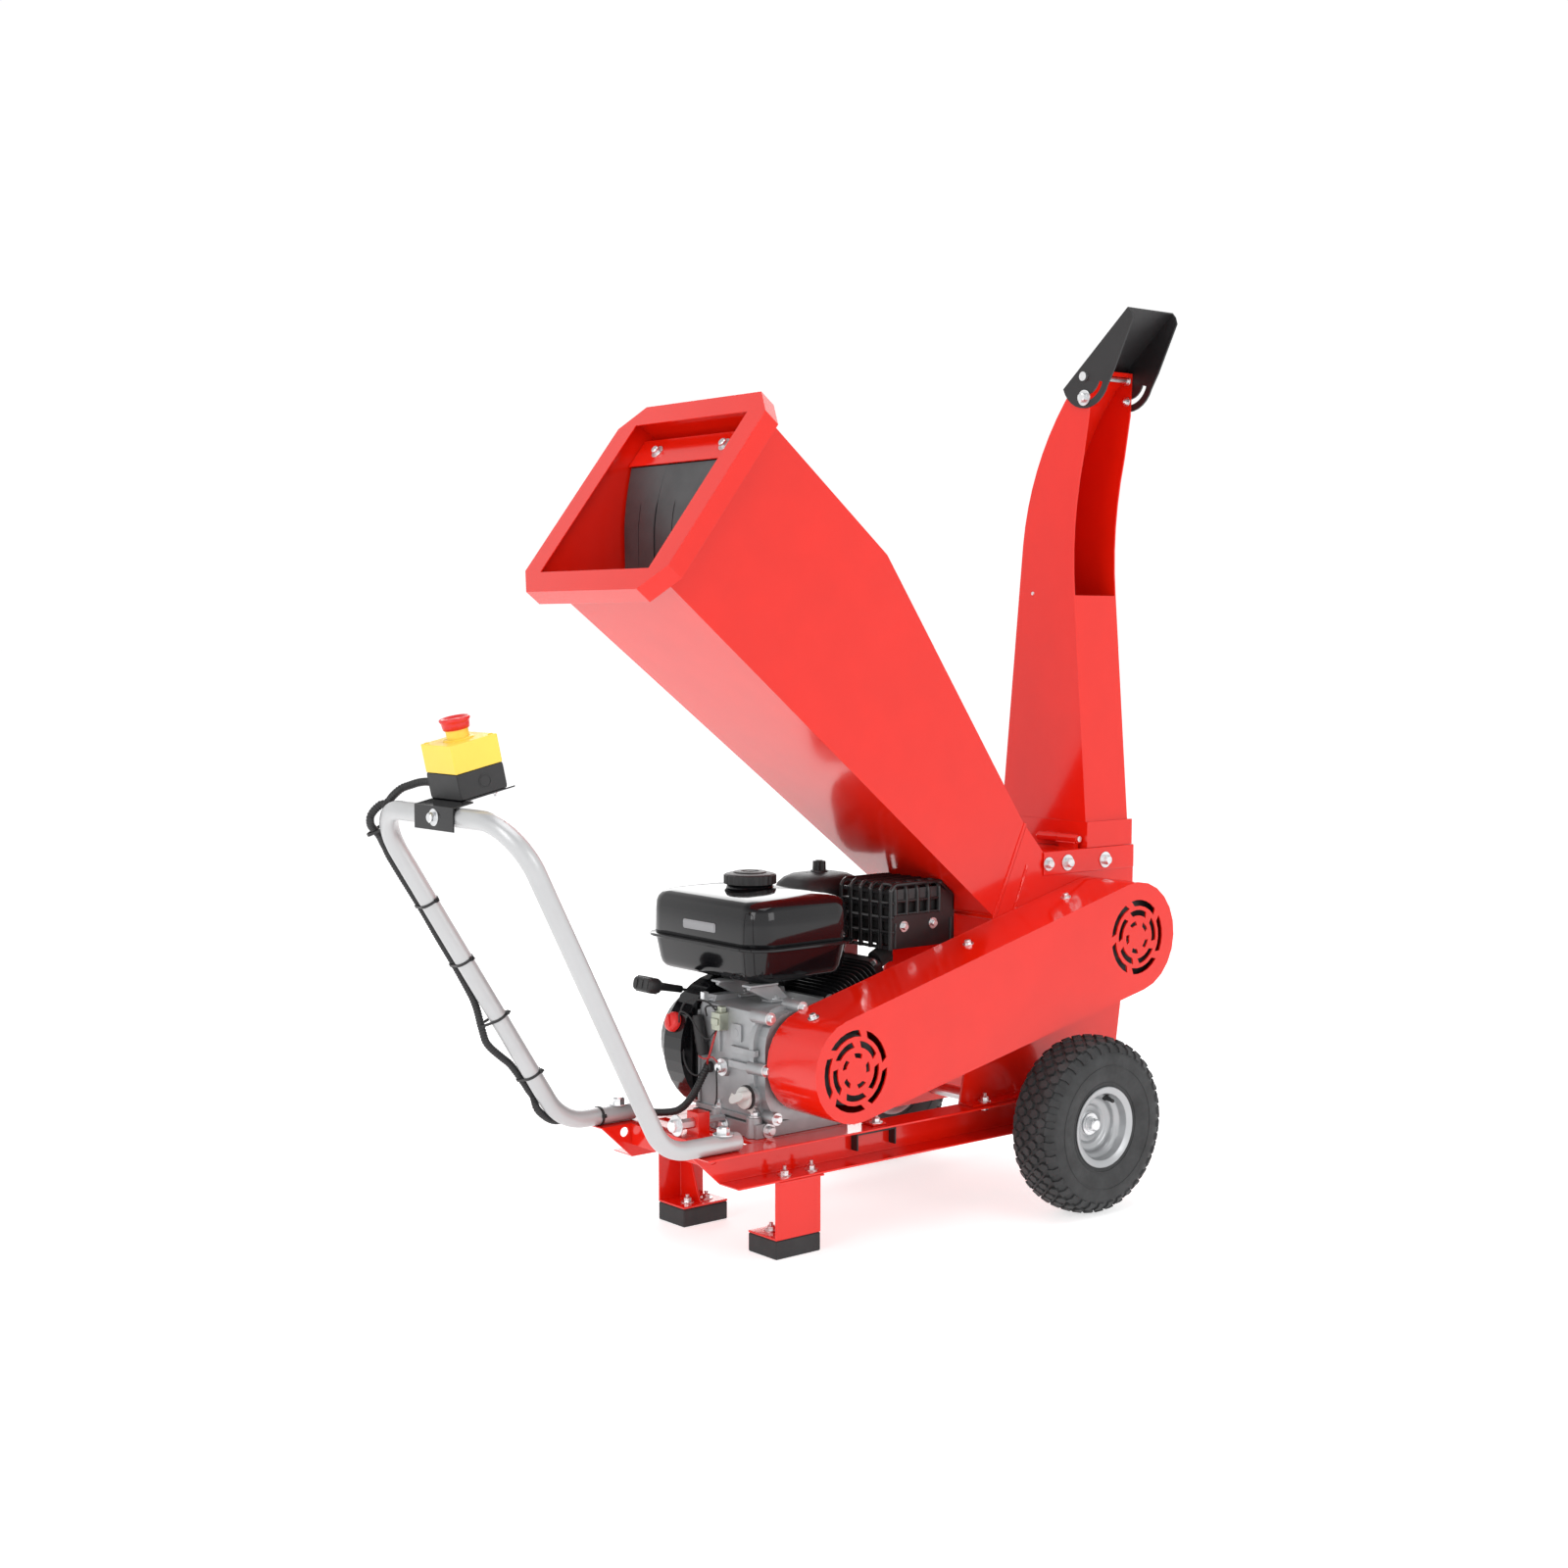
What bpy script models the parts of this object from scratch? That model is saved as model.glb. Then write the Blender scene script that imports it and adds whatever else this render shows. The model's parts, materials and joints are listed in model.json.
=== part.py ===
"""Petrol wood chipper on two wheels, built as separate pieces.

Metres, +Z up. The pieces are placed from the wheel axle: X runs towards the wheels and the
discharge chute, the push handle is at -X, and the belt guard is on the -Y side. The root empty
then shifts everything so that the origin lies under the middle of the whole object.
"""

import math

import bmesh
import bpy
from mathutils import Matrix, Vector

GAP = 0.0003  # clearance between pieces that touch
SHEET = 0.0025  # pressed sheet steel
PLATE = 0.004  # welded plate

# Wheels and axle
TYRE_RADIUS = 0.130
TYRE_WIDTH = 0.083
RIM_SEAT_RADIUS = 0.0508
RIM_LIP_RADIUS = 0.0594
RIM_HALF_WIDTH = 0.0355
HUB_FACE = 0.004
TRACK = 0.4492
AXLE_RADIUS = 0.010

# Chassis
RAIL_TOP = 0.157
RAIL_HEIGHT = 0.048
RAIL_WALL = 0.003
RAIL_WEB_Y = 0.100
RAIL_FLANGE = 0.042
RAIL_END_TOP = -0.636
RAIL_END_BOTTOM = -0.583
RAIL_BACK = 0.190
LEG_X = -0.4735
LEG_LENGTH = 0.079
LEG_Y = 0.134
LEG_DEPTH = 0.061
FOOT_HEIGHT = 0.026

# Push handle
TUBE_RADIUS = 0.0125
HANDLE_Y = 0.120
HANDLE_END = -0.566
HANDLE_BEND = -0.689
HANDLE_TOP_X = -0.946
HANDLE_TOP_Y = 0.172
HANDLE_TOP_Z = 0.617

# Emergency stop box
STOP_TILT = math.radians(12.5)
STOP_LENGTH = 0.069
STOP_WIDTH = 0.073
STOP_BASE_HEIGHT = 0.033
STOP_HEIGHT = 0.070
STOP_X = -0.9025
STOP_RISE = 0.014
STOP_Z = HANDLE_TOP_Z + TUBE_RADIUS + STOP_RISE
BUTTON_RADIUS = 0.020
BUTTON_TRAVEL = 0.005
CONDUIT_RADIUS = 0.0055
CONDUIT_BACK = -0.9665

# Drive: crankshaft and rotor
CRANK_X = -0.4355
CRANK_Z = RAIL_TOP + 0.1035
ROTOR_X = 0.1233
ROTOR_Z = 0.391
GUARD_FACE_Y = -0.208
GUARD_SMALL_RADIUS = 0.0715
GUARD_LARGE_RADIUS = 0.0825
VENT_RADIUS = 0.056
BELT_Y = (-0.182, -0.163)
BELT_WIDTH = 0.0125
BELT_DEPTH = 0.009
CLUTCH_GROOVE_RADIUS = 0.040
ROTOR_GROOVE_RADIUS = 0.056
SHAFT_RADIUS = 0.0125
CRANK_RADIUS = 0.010

# Rotor housing
HOUSING_Y = 0.106
HOUSING_TOP = 0.5165
HOUSING_RADIUS = 0.1045
DRUM_RADIUS = 0.078
KNIFE_RADIUS = 0.088

# Hopper, measured from the middle of its mouth
HOPPER_X = -0.6335
HOPPER_Z = 1.0282
HOPPER_SLOPE = math.radians(37.9)
RIM_HALF = 0.164
RIM_CHAMFER = 0.037
RIM_DEPTH = 0.027
MOUTH_HALF_Y = 0.124
MOUTH_HALF_V = 0.130
HOPPER_FLOOR = -0.1305
HOPPER_ROOF = 0.141
HOPPER_KINK = 0.3066
HOPPER_FLOOR_END = 0.8125
HOPPER_ROOF_END = 0.7805
HOPPER_END_TOP = 0.011
HOPPER_HALF_IN = 0.1326
HOPPER_HALF_OUT = 0.1035
HOPPER_FLANGE = 0.005
HOPPER_SEAM = 0.0006
CLAMP_DEPTH = 0.027
CLAMP_LOW = 0.079
CLAMP_HIGH = 0.125
FLAP_LENGTH = 0.232
FLAP_THICKNESS = 0.004
FLAP_STRIPS = 6

# Discharge chute and deflector
CHUTE_X = (0.128, 0.2225)
COLLAR_WALL = 0.0035
COLLAR_TOP = 0.556
CHUTE_BACK_Y = 0.085
CHUTE_FRONT_Y = -0.101
CHUTE_TOP = 1.239
CHUTE_MOUTH = 0.338
CHUTE_FRONT_TOP = CHUTE_TOP - CHUTE_MOUTH
HINGE_X = 0.1165
HINGE_Z = 0.530
KNUCKLE_RADIUS = 0.0068
PIN_RADIUS = 0.003
PIVOT_Y = -0.089
PIVOT_DROP = 0.0104
PIVOT_Z = CHUTE_TOP - PIVOT_DROP
DEFLECTOR_RADIUS = 0.047
DEFLECTOR_SHEET = 0.003
DEFLECTOR_BOLT_HEAD = 0.006
SLOT_RADIUS = 0.0325

# Engine
CASE_X = (-0.505, -0.357)
CASE_Y = (-0.078, 0.052)
CASE_TOP = 0.332
FOOT_TOP = 0.177
COVER_FACE_Y = -0.106
CYLINDER_TILT = math.radians(25)
CYLINDER_START = 0.108
FIN_PITCH = 0.0105
FIN_COUNT = 6
HEAD_END = CYLINDER_START + FIN_PITCH * FIN_COUNT + 0.050
FAN_RADIUS = 0.098
FAN_Y = (0.0523, 0.098)
STARTER_RADIUS = 0.084
STARTER_Y = 0.148
PULL_OFFSET = -0.062
PULL_RISE = math.radians(168)
SWITCH_RISE = math.radians(22)
TANK_X = (-0.497, -0.297)
TANK_Y = (-0.070, 0.204)
TANK_BOTTOM = 0.360
TANK_SEAM = 0.4095
TANK_TOP = 0.484
CAP_RADIUS = 0.038
CAP_TOP = 0.5035
MUFFLER_X = (-0.244, -0.121)
MUFFLER_SHOULDER = (-0.150, 0.022)
MUFFLER_Y = (-0.068, 0.045)
MUFFLER_Z = (0.388, 0.4835)

ENDS = (CONDUIT_BACK - CONDUIT_RADIUS, CHUTE_X[1] + 2 * GAP + DEFLECTOR_SHEET + DEFLECTOR_BOLT_HEAD)

FACE_SIDE = Matrix(((1, 0, 0), (0, 0, -1), (0, 1, 0))).to_4x4()
FACE_END = Matrix(((0, 0, 1), (1, 0, 0), (0, 1, 0))).to_4x4()
FACE_PLAN = Matrix.Identity(4)
ALONG = {
    "x": Matrix(((0, 0, 1), (0, 1, 0), (-1, 0, 0))).to_4x4(),
    "y": Matrix(((1, 0, 0), (0, 0, 1), (0, -1, 0))).to_4x4(),
    "z": Matrix.Identity(4),
}


def clear_scene():
    for obj in list(bpy.data.objects):
        bpy.data.objects.remove(obj, do_unlink=True)


def new_collection(name, hidden=False):
    made = bpy.data.collections.new(name)
    bpy.context.scene.collection.children.link(made)
    made.hide_render = hidden
    return made


clear_scene()
PARTS = new_collection("wood_chipper")
CUTTERS = new_collection("cutters", hidden=True)


def paint(name, colour, roughness, metallic=0.0):
    material = bpy.data.materials.new(name)
    material.use_nodes = True
    shader = material.node_tree.nodes["Principled BSDF"]
    shader.inputs["Base Color"].default_value = (*colour, 1.0)
    shader.inputs["Roughness"].default_value = roughness
    shader.inputs["Metallic"].default_value = metallic
    material.diffuse_color = (*colour, 1.0)
    return material


RED = paint("red_powder_coat", (0.80, 0.02, 0.015), 0.25)
BLACK_STEEL = paint("black_steel", (0.03, 0.03, 0.03), 0.45)
BLACK_GLOSS = paint("black_gloss", (0.01, 0.01, 0.01), 0.12)
BLACK_PLASTIC = paint("black_plastic", (0.02, 0.02, 0.02), 0.5)
RUBBER = paint("rubber", (0.03, 0.03, 0.03), 0.85)
SILVER = paint("silver_paint", (0.72, 0.72, 0.74), 0.3, 0.3)
CAST = paint("cast_aluminium", (0.55, 0.55, 0.56), 0.5, 0.8)
STEEL = paint("zinc_steel", (0.65, 0.66, 0.68), 0.3, 1.0)
YELLOW = paint("yellow_plastic", (0.95, 0.70, 0.08), 0.4)
STOP_RED = paint("red_plastic", (0.75, 0.03, 0.02), 0.35)
IVORY = paint("ivory_plastic", (0.75, 0.74, 0.68), 0.45)


def anchor(name, at, parent=None, turn=0.0):
    """An empty at this place, turned about Y."""
    made = bpy.data.objects.new(name, None)
    made.location = at
    made.rotation_euler = (0.0, turn, 0.0)
    made.parent = parent
    PARTS.objects.link(made)
    return made


ROOT = anchor("wood_chipper_origin", (-(ENDS[0] + ENDS[1]) / 2, 0.0, 0.0))
WHEEL_Y = TRACK / 2


def settle(obj, material, parent):
    obj.parent = parent
    obj.data.materials.clear()
    obj.data.materials.append(material)
    return obj


def mesh_object(name, mesh, material, parent, place=None):
    made = bpy.data.objects.new(name, mesh)
    PARTS.objects.link(made)
    if place is not None:
        made.matrix_basis = place
    return settle(made, material, parent)


def soften(obj, width, segments=2, angle=40):
    bevel = obj.modifiers.new("edges", "BEVEL")
    bevel.width = width
    bevel.segments = segments
    bevel.limit_method = "ANGLE"
    bevel.angle_limit = math.radians(angle)
    return obj


def block(name, low, high, material=STEEL, parent=ROOT):
    """A box between two corners."""
    work = bmesh.new()
    bmesh.ops.create_cube(work, size=1.0)
    size = [b - a for a, b in zip(low, high)]
    middle = [(a + b) / 2 for a, b in zip(low, high)]
    bmesh.ops.scale(work, vec=size, verts=work.verts)
    bmesh.ops.translate(work, vec=middle, verts=work.verts)
    mesh = bpy.data.meshes.new(name)
    work.to_mesh(mesh)
    work.free()
    return mesh_object(name, mesh, material, parent)


def solid_of_curve(curve):
    """The curve object's mesh, with its loose caps welded on."""
    graph = bpy.context.evaluated_depsgraph_get()
    mesh = bpy.data.meshes.new_from_object(curve.evaluated_get(graph))
    work = bmesh.new()
    work.from_mesh(mesh)
    bmesh.ops.remove_doubles(work, verts=work.verts, dist=1e-6)
    bmesh.ops.recalc_face_normals(work, faces=work.faces)
    work.to_mesh(mesh)
    work.free()
    return mesh


def slab(name, outlines, facing, low, high, material=STEEL, parent=ROOT):
    """Flat outlines, extruded between two distances along their normal.

    facing is FACE_SIDE for outlines in (x, z) that run along -Y, FACE_END for (y, z) along X
    and FACE_PLAN for (x, y) along Z.
    """
    curve = bpy.data.curves.new(name, "CURVE")
    curve.dimensions = "2D"
    curve.fill_mode = "BOTH"
    curve.extrude = (high - low) / 2
    for outline in outlines:
        spline = curve.splines.new("POLY")
        spline.points.add(len(outline) - 1)
        for point, (across, up) in zip(spline.points, outline):
            point.co = (across, up, 0.0, 1.0)
        spline.use_cyclic_u = True
    guide = bpy.data.objects.new(name + "_outline", curve)
    PARTS.objects.link(guide)
    bpy.context.view_layer.update()
    mesh = solid_of_curve(guide)
    bpy.data.objects.remove(guide)
    middle = (low + high) / 2
    shift = Matrix.Translation((0.0, 0.0, -middle if facing is FACE_SIDE else middle))
    mesh.transform(facing @ shift)
    return mesh_object(name, mesh, material, parent)


def tube(name, points, radius, material, parent=ROOT, detail=3):
    curve = bpy.data.curves.new(name, "CURVE")
    curve.dimensions = "3D"
    curve.bevel_depth = radius
    curve.bevel_resolution = detail
    curve.use_fill_caps = True
    spline = curve.splines.new("POLY")
    spline.points.add(len(points) - 1)
    for point, place in zip(spline.points, points):
        point.co = (*place, 1.0)
    guide = bpy.data.objects.new(name + "_path", curve)
    PARTS.objects.link(guide)
    bpy.context.view_layer.update()
    mesh = solid_of_curve(guide)
    bpy.data.objects.remove(guide)
    mesh.shade_smooth()
    mesh.set_sharp_from_angle(angle=math.radians(50))
    return mesh_object(name, mesh, material, parent)


def turned(name, profile, axis, at, steps, material=STEEL, parent=ROOT, closed=False):
    """A profile of (radius, height) turned about an axis through a point."""
    area = 0.0
    for (r0, h0), (r1, h1) in zip(profile, profile[1:] + profile[:1]):
        area += r0 * h1 - r1 * h0
    if area > 0:
        profile = profile[::-1]
    mesh = bpy.data.meshes.new(name)
    edges = [(i, i + 1) for i in range(len(profile) - 1)]
    if closed:
        edges.append((len(profile) - 1, 0))
    mesh.from_pydata([(radius, 0.0, height) for radius, height in profile], edges, [])
    made = mesh_object(name, mesh, material, parent, Matrix.Translation(at) @ ALONG[axis])
    screw = made.modifiers.new("turned", "SCREW")
    screw.steps = steps
    screw.render_steps = steps
    screw.use_merge_vertices = True
    screw.merge_threshold = 0.00005
    screw.use_normal_calculate = False
    return made


def rod(name, axis, at, radius, low, high, material=STEEL, parent=ROOT, steps=20):
    profile = [(0.0, high), (radius, high), (radius, low), (0.0, low)]
    return turned(name, profile, axis, at, steps, material, parent)


def ring(name, axis, at, inner, outer, low, high, material=STEEL, parent=ROOT, steps=28):
    profile = [(inner, high), (outer, high), (outer, low), (inner, low)]
    return turned(name, profile, axis, at, steps, material, parent, closed=True)


def boolean(obj, other, operation):
    modifier = obj.modifiers.new(operation.lower(), "BOOLEAN")
    modifier.operation = operation
    modifier.object = other
    modifier.solver = "EXACT"
    PARTS.objects.unlink(other)
    CUTTERS.objects.link(other)
    other.hide_render = True
    other.display_type = "WIRE"
    return obj


def join(obj, *others):
    for other in others:
        boolean(obj, other, "UNION")
    return obj


def cut(obj, *others):
    for other in others:
        boolean(obj, other, "DIFFERENCE")
    return obj


def arc(centre, radius, start, end, count):
    """Points on a circle, from one angle to another in degrees."""
    points = []
    for step in range(count + 1):
        angle = math.radians(start + (end - start) * step / count)
        points.append((centre[0] + radius * math.cos(angle), centre[1] + radius * math.sin(angle)))
    return points


def rounded(points, radius, count=6):
    """A route through points with its inner corners rounded off."""
    route = [Vector(points[0])]
    for before, corner, after in zip(points, points[1:], points[2:]):
        corner = Vector(corner)
        inward = (Vector(before) - corner).normalized()
        outward = (Vector(after) - corner).normalized()
        half = math.acos(max(-1.0, min(1.0, inward.dot(outward)))) / 2
        setback = radius / math.tan(half)
        middle = corner + (inward + outward).normalized() * radius / math.sin(half)
        start = corner + inward * setback - middle
        end = corner + outward * setback - middle
        sweep = math.acos(max(-1.0, min(1.0, start.normalized().dot(end.normalized()))))
        for step in range(count + 1):
            share = step / count
            weight_a = math.sin((1 - share) * sweep) / math.sin(sweep)
            weight_b = math.sin(share * sweep) / math.sin(sweep)
            route.append(middle + start * weight_a + end * weight_b)
    route.append(Vector(points[-1]))
    return route


def corner_rounded(low, high, radius, count=4):
    """A rectangle with round corners."""
    corners = (
        (high[0] - radius, high[1] - radius, 0),
        (low[0] + radius, high[1] - radius, 90),
        (low[0] + radius, low[1] + radius, 180),
        (high[0] - radius, low[1] + radius, 270),
    )
    outline = []
    for across, up, start in corners:
        outline += arc((across, up), radius, start, start + 90, count)
    return outline


def loop_round(small, large, small_radius, large_radius, count=12):
    """The outline of a band round two circles."""
    across = large[0] - small[0]
    up = large[1] - small[1]
    heading = math.degrees(math.atan2(up, across))
    lean = math.degrees(math.acos((small_radius - large_radius) / math.hypot(across, up)))
    first = arc(small, small_radius, heading + lean, heading + 360 - lean, count)
    second = arc(large, large_radius, heading - lean, heading + lean, count)
    return first + second


def side_pair(make):
    """The near (-Y) and far (+Y) copies of a piece."""
    for word, side in (("near", -1), ("far", 1)):
        make(word, side)


def span(side, inner, outer):
    """Low and high Y of a stretch that lies this far from the middle plane."""
    return (inner, outer) if side > 0 else (-outer, -inner)


def build_rail(word, side):
    web = RAIL_WEB_Y
    lip = web + RAIL_FLANGE
    low = RAIL_TOP - RAIL_HEIGHT
    section = [
        (web, low), (lip, low), (lip, low + RAIL_WALL), (web + RAIL_WALL, low + RAIL_WALL),
        (web + RAIL_WALL, RAIL_TOP - RAIL_WALL), (lip, RAIL_TOP - RAIL_WALL), (lip, RAIL_TOP),
        (web, RAIL_TOP),
    ]
    section = [(side * across, up) for across, up in section]
    rail = slab(f"rail_{word}", [section], FACE_END, RAIL_END_TOP, RAIL_BACK, RED)
    reach = 0.1
    wedge = [
        (RAIL_END_TOP - reach, low - GAP), (RAIL_END_BOTTOM, low - GAP),
        (RAIL_END_TOP, RAIL_TOP + GAP), (RAIL_END_TOP - reach, RAIL_TOP + GAP),
    ]
    near, far = span(side, web - 0.01, lip + 0.01)
    end = slab("rail_end_cut", [wedge], FACE_SIDE, near, far)
    bore = rod(
        "rail_axle_cut", "y", (0.0, 0.0, TYRE_RADIUS), AXLE_RADIUS + GAP, near, far, steps=16
    )
    access = rod(
        "rail_access_cut", "y", (HANDLE_END - 0.03, 0.0, RAIL_TOP - 0.011), 0.007,
        *span(side, web - 0.01, web + RAIL_WALL + 0.005), steps=12,
    )
    cut(rail, end, bore, access)


def build_chassis():
    side_pair(build_rail)
    inner = RAIL_WEB_Y - GAP
    plate_x = (-0.525, -0.335)
    block("engine_plate", (plate_x[0], -inner, RAIL_TOP - 0.005), (plate_x[1], inner, RAIL_TOP), RED)
    bar_x = (-0.585, -0.540)
    stand = 0.034
    member = block(
        "front_crossmember", (bar_x[0], -inner, RAIL_TOP - 0.030), (bar_x[1], inner, RAIL_TOP), RED
    )
    post = block(
        "tensioner_post", (-0.566, -0.031, RAIL_TOP - 0.001), (-0.546, -0.005, RAIL_TOP + stand), RED
    )
    thread_z = RAIL_TOP + 0.019
    thread_radius = 0.005
    hole = rod("tensioner_cut", "x", (0.0, -0.018, thread_z), thread_radius + GAP, -0.60, -0.50)
    cut(join(member, post), hole)
    profile = [
        (0.0, -0.598), (0.0075, -0.598), (0.0075, -0.5663), (thread_radius, -0.5663),
        (thread_radius, CASE_X[0] - 0.007 - GAP), (0.0, CASE_X[0] - 0.007 - GAP),
    ]
    turned("tensioner_bolt", profile, "x", (0.0, -0.018, thread_z), 6, STEEL)


def build_leg(word, side):
    x0 = LEG_X - LEG_LENGTH / 2
    x1 = LEG_X + LEG_LENGTH / 2
    top = RAIL_TOP - RAIL_HEIGHT - GAP
    low = FOOT_HEIGHT + GAP
    wall = RAIL_WALL
    section = [
        (LEG_Y - LEG_DEPTH, low), (LEG_Y, low), (LEG_Y, top - wall), (RAIL_WEB_Y + RAIL_FLANGE, top - wall),
        (RAIL_WEB_Y + RAIL_FLANGE, top), (LEG_Y - wall, top), (LEG_Y - wall, low + wall),
        (LEG_Y - LEG_DEPTH, low + wall),
    ]
    section = [(side * across, up) for across, up in section]
    leg = slab(f"leg_{word}", [section], FACE_END, x0, x1, RED)
    rib_out = LEG_Y - wall / 2
    rib = [
        (rib_out, low + wall / 2), (LEG_Y - LEG_DEPTH + 0.012, low + wall / 2),
        (LEG_Y - LEG_DEPTH + 0.020, low + 0.02), (rib_out - 0.020, top - 0.006), (rib_out, top - 0.006),
    ]
    rib = [(side * across, up) for across, up in rib]
    join(leg, slab("leg_rib", [rib], FACE_END, LEG_X - wall / 2, LEG_X + wall / 2, RED))
    near, far = span(side, LEG_Y - LEG_DEPTH, LEG_Y)
    foot = block(f"foot_{word}", (x0, near, 0.0), (x1, far, FOOT_HEIGHT), RUBBER)
    soften(foot, 0.0015, 1)


def build_wheel(word, side):
    axis = anchor(f"wheel_{word}_axis", (0.0, side * WHEEL_Y, TYRE_RADIUS), ROOT)
    half = TYRE_WIDTH / 2
    bead = RIM_SEAT_RADIUS + GAP
    outer = [
        (bead, 0.0318), (0.058, 0.0322), (0.072, half - 0.003), (0.092, half), (0.110, half - 0.002),
        (0.122, 0.034), (TYRE_RADIUS - 0.001, 0.020), (TYRE_RADIUS, 0.0),
    ]
    inner = [(0.1215, 0.0), (0.112, 0.029), (0.092, 0.035), (0.072, 0.032), (bead, 0.024)]
    profile = outer + [(r, -h) for r, h in outer[-2::-1]]
    profile += [(r, -h) for r, h in inner[::-1]] + inner[1:]
    turned(f"tyre_{word}", profile, "y", (0, 0, 0), 40, RUBBER, axis, closed=True)
    lip = RIM_HALF_WIDTH
    seat = RIM_SEAT_RADIUS
    well = 0.043
    wall = SHEET
    bore = AXLE_RADIUS + GAP
    hub = 0.018
    rim = [
        (bore, HUB_FACE), (hub, HUB_FACE), (hub, 0.006), (well - wall, 0.006), (well - wall, 0.013),
        (seat - wall, 0.018), (seat - wall, lip - 0.004), (RIM_LIP_RADIUS - 0.002, lip),
        (RIM_LIP_RADIUS, lip - 0.0005), (RIM_LIP_RADIUS, lip - 0.0025), (seat, 0.0322), (seat, 0.019),
        (well, 0.013), (well, -0.013), (seat, -0.019), (seat, -0.0322),
        (RIM_LIP_RADIUS, -lip + 0.0025), (RIM_LIP_RADIUS, -lip + 0.0005), (RIM_LIP_RADIUS - 0.002, -lip),
        (seat - wall, -lip + 0.004), (seat - wall, -0.018), (well - wall, -0.013),
        (well - wall, 0.0025), (hub, 0.0025), (hub, -0.034), (bore, -0.034),
    ]
    rim = [(radius, side * height) for radius, height in rim]
    turned(f"rim_{word}", rim, "y", (0, 0, 0), 32, SILVER, axis, closed=True)


def build_axle():
    end = WHEEL_Y + HUB_FACE + GAP
    head = 0.0095
    washer = 0.016
    hub_in = WHEEL_Y - 0.034 - GAP
    profile = [
        (0.0, end + 0.0085), (head, end + 0.0085), (head, end + 0.0025), (washer, end + 0.0025),
        (washer, end), (AXLE_RADIUS, end), (AXLE_RADIUS, hub_in), (0.015, hub_in), (0.015, hub_in - 0.004),
        (AXLE_RADIUS, hub_in - 0.004),
    ]
    profile += [(radius, -height) for radius, height in profile[::-1]]
    turned("axle", profile, "y", (0.0, 0.0, TYRE_RADIUS), 20, STEEL)


def handle_route():
    foot_z = RAIL_TOP + GAP + TUBE_RADIUS
    half = [
        (HANDLE_END, -HANDLE_Y, foot_z),
        (HANDLE_BEND, -HANDLE_Y, foot_z),
        (HANDLE_TOP_X, -HANDLE_TOP_Y, HANDLE_TOP_Z),
    ]
    whole = half + [(x, -y, z) for x, y, z in half[::-1]]
    return rounded(whole, 0.066)


def build_handle():
    tube("handle", handle_route(), TUBE_RADIUS, SILVER, detail=6)


def build_stop():
    frame = anchor("stop_frame", (STOP_X, 0.0, STOP_Z), ROOT, -STOP_TILT)
    half_x = STOP_LENGTH / 2
    half_y = STOP_WIDTH / 2
    shell = 0.0025
    base = block("estop_base", (-half_x, -half_y, 0.0), (half_x, half_y, STOP_BASE_HEIGHT), BLACK_PLASTIC, frame)
    hollow = block(
        "estop_base_cut", (-half_x + shell, -half_y + shell, shell),
        (half_x - shell, half_y - shell, STOP_BASE_HEIGHT + 0.01), STEEL, frame,
    )
    cut(base, hollow)
    low = STOP_BASE_HEIGHT + GAP
    cover = block("estop_cover", (-half_x, -half_y, low), (half_x, half_y, STOP_HEIGHT), YELLOW, frame)
    collar_radius = 0.0145
    collar_top = STOP_HEIGHT + 0.0175
    collar = rod("estop_collar", "z", (0, 0, 0), collar_radius, STOP_HEIGHT - 0.001, collar_top, YELLOW, frame, 24)
    inside = block(
        "estop_cover_cut", (-half_x + shell, -half_y + shell, low - 0.01),
        (half_x - shell, half_y - shell, STOP_HEIGHT - shell), STEEL, frame,
    )
    cut(join(cover, collar), inside)
    skirt = collar_radius + 0.0005
    roof = collar_top + BUTTON_TRAVEL + GAP
    low_edge = STOP_HEIGHT + 0.0115
    button = [
        (0.0, roof + 0.007), (0.012, roof + 0.007), (BUTTON_RADIUS, roof + 0.0075), (BUTTON_RADIUS, roof + 0.002),
        (skirt + 0.002, roof - 0.003), (skirt + 0.0015, low_edge), (skirt, low_edge), (skirt, roof), (0.0, roof),
    ]
    travel = anchor("estop_button_axis", (0, 0, 0), frame)
    turned("estop_button", button, "z", (0, 0, 0), 28, STOP_RED, travel)
    build_stop_bracket()


def build_stop_bracket():
    wall = 0.002
    plate_x = HANDLE_TOP_X - TUBE_RADIUS - GAP
    rise = math.tan(STOP_TILT)
    below = GAP / math.cos(STOP_TILT)

    def shelf(x):
        return STOP_Z + (x - STOP_X) * rise - below

    thick = wall / math.cos(STOP_TILT)
    tip = STOP_X + STOP_LENGTH / 2 + 0.010
    profile = [
        (plate_x, HANDLE_TOP_Z - 0.017), (plate_x, shelf(plate_x) - thick), (tip, shelf(tip) - thick),
        (tip, shelf(tip)), (plate_x - wall, shelf(plate_x - wall)), (plate_x - wall, HANDLE_TOP_Z - 0.017),
    ]
    bracket = slab("estop_bracket", [profile], FACE_SIDE, -0.057, 0.037, BLACK_STEEL)
    trim = block(
        "estop_bracket_cut", (plate_x + 0.0275, -0.07, HANDLE_TOP_Z), (tip + 0.01, -STOP_WIDTH / 2, HANDLE_TOP_Z + 0.1)
    )
    cut(bracket, trim)


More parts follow.
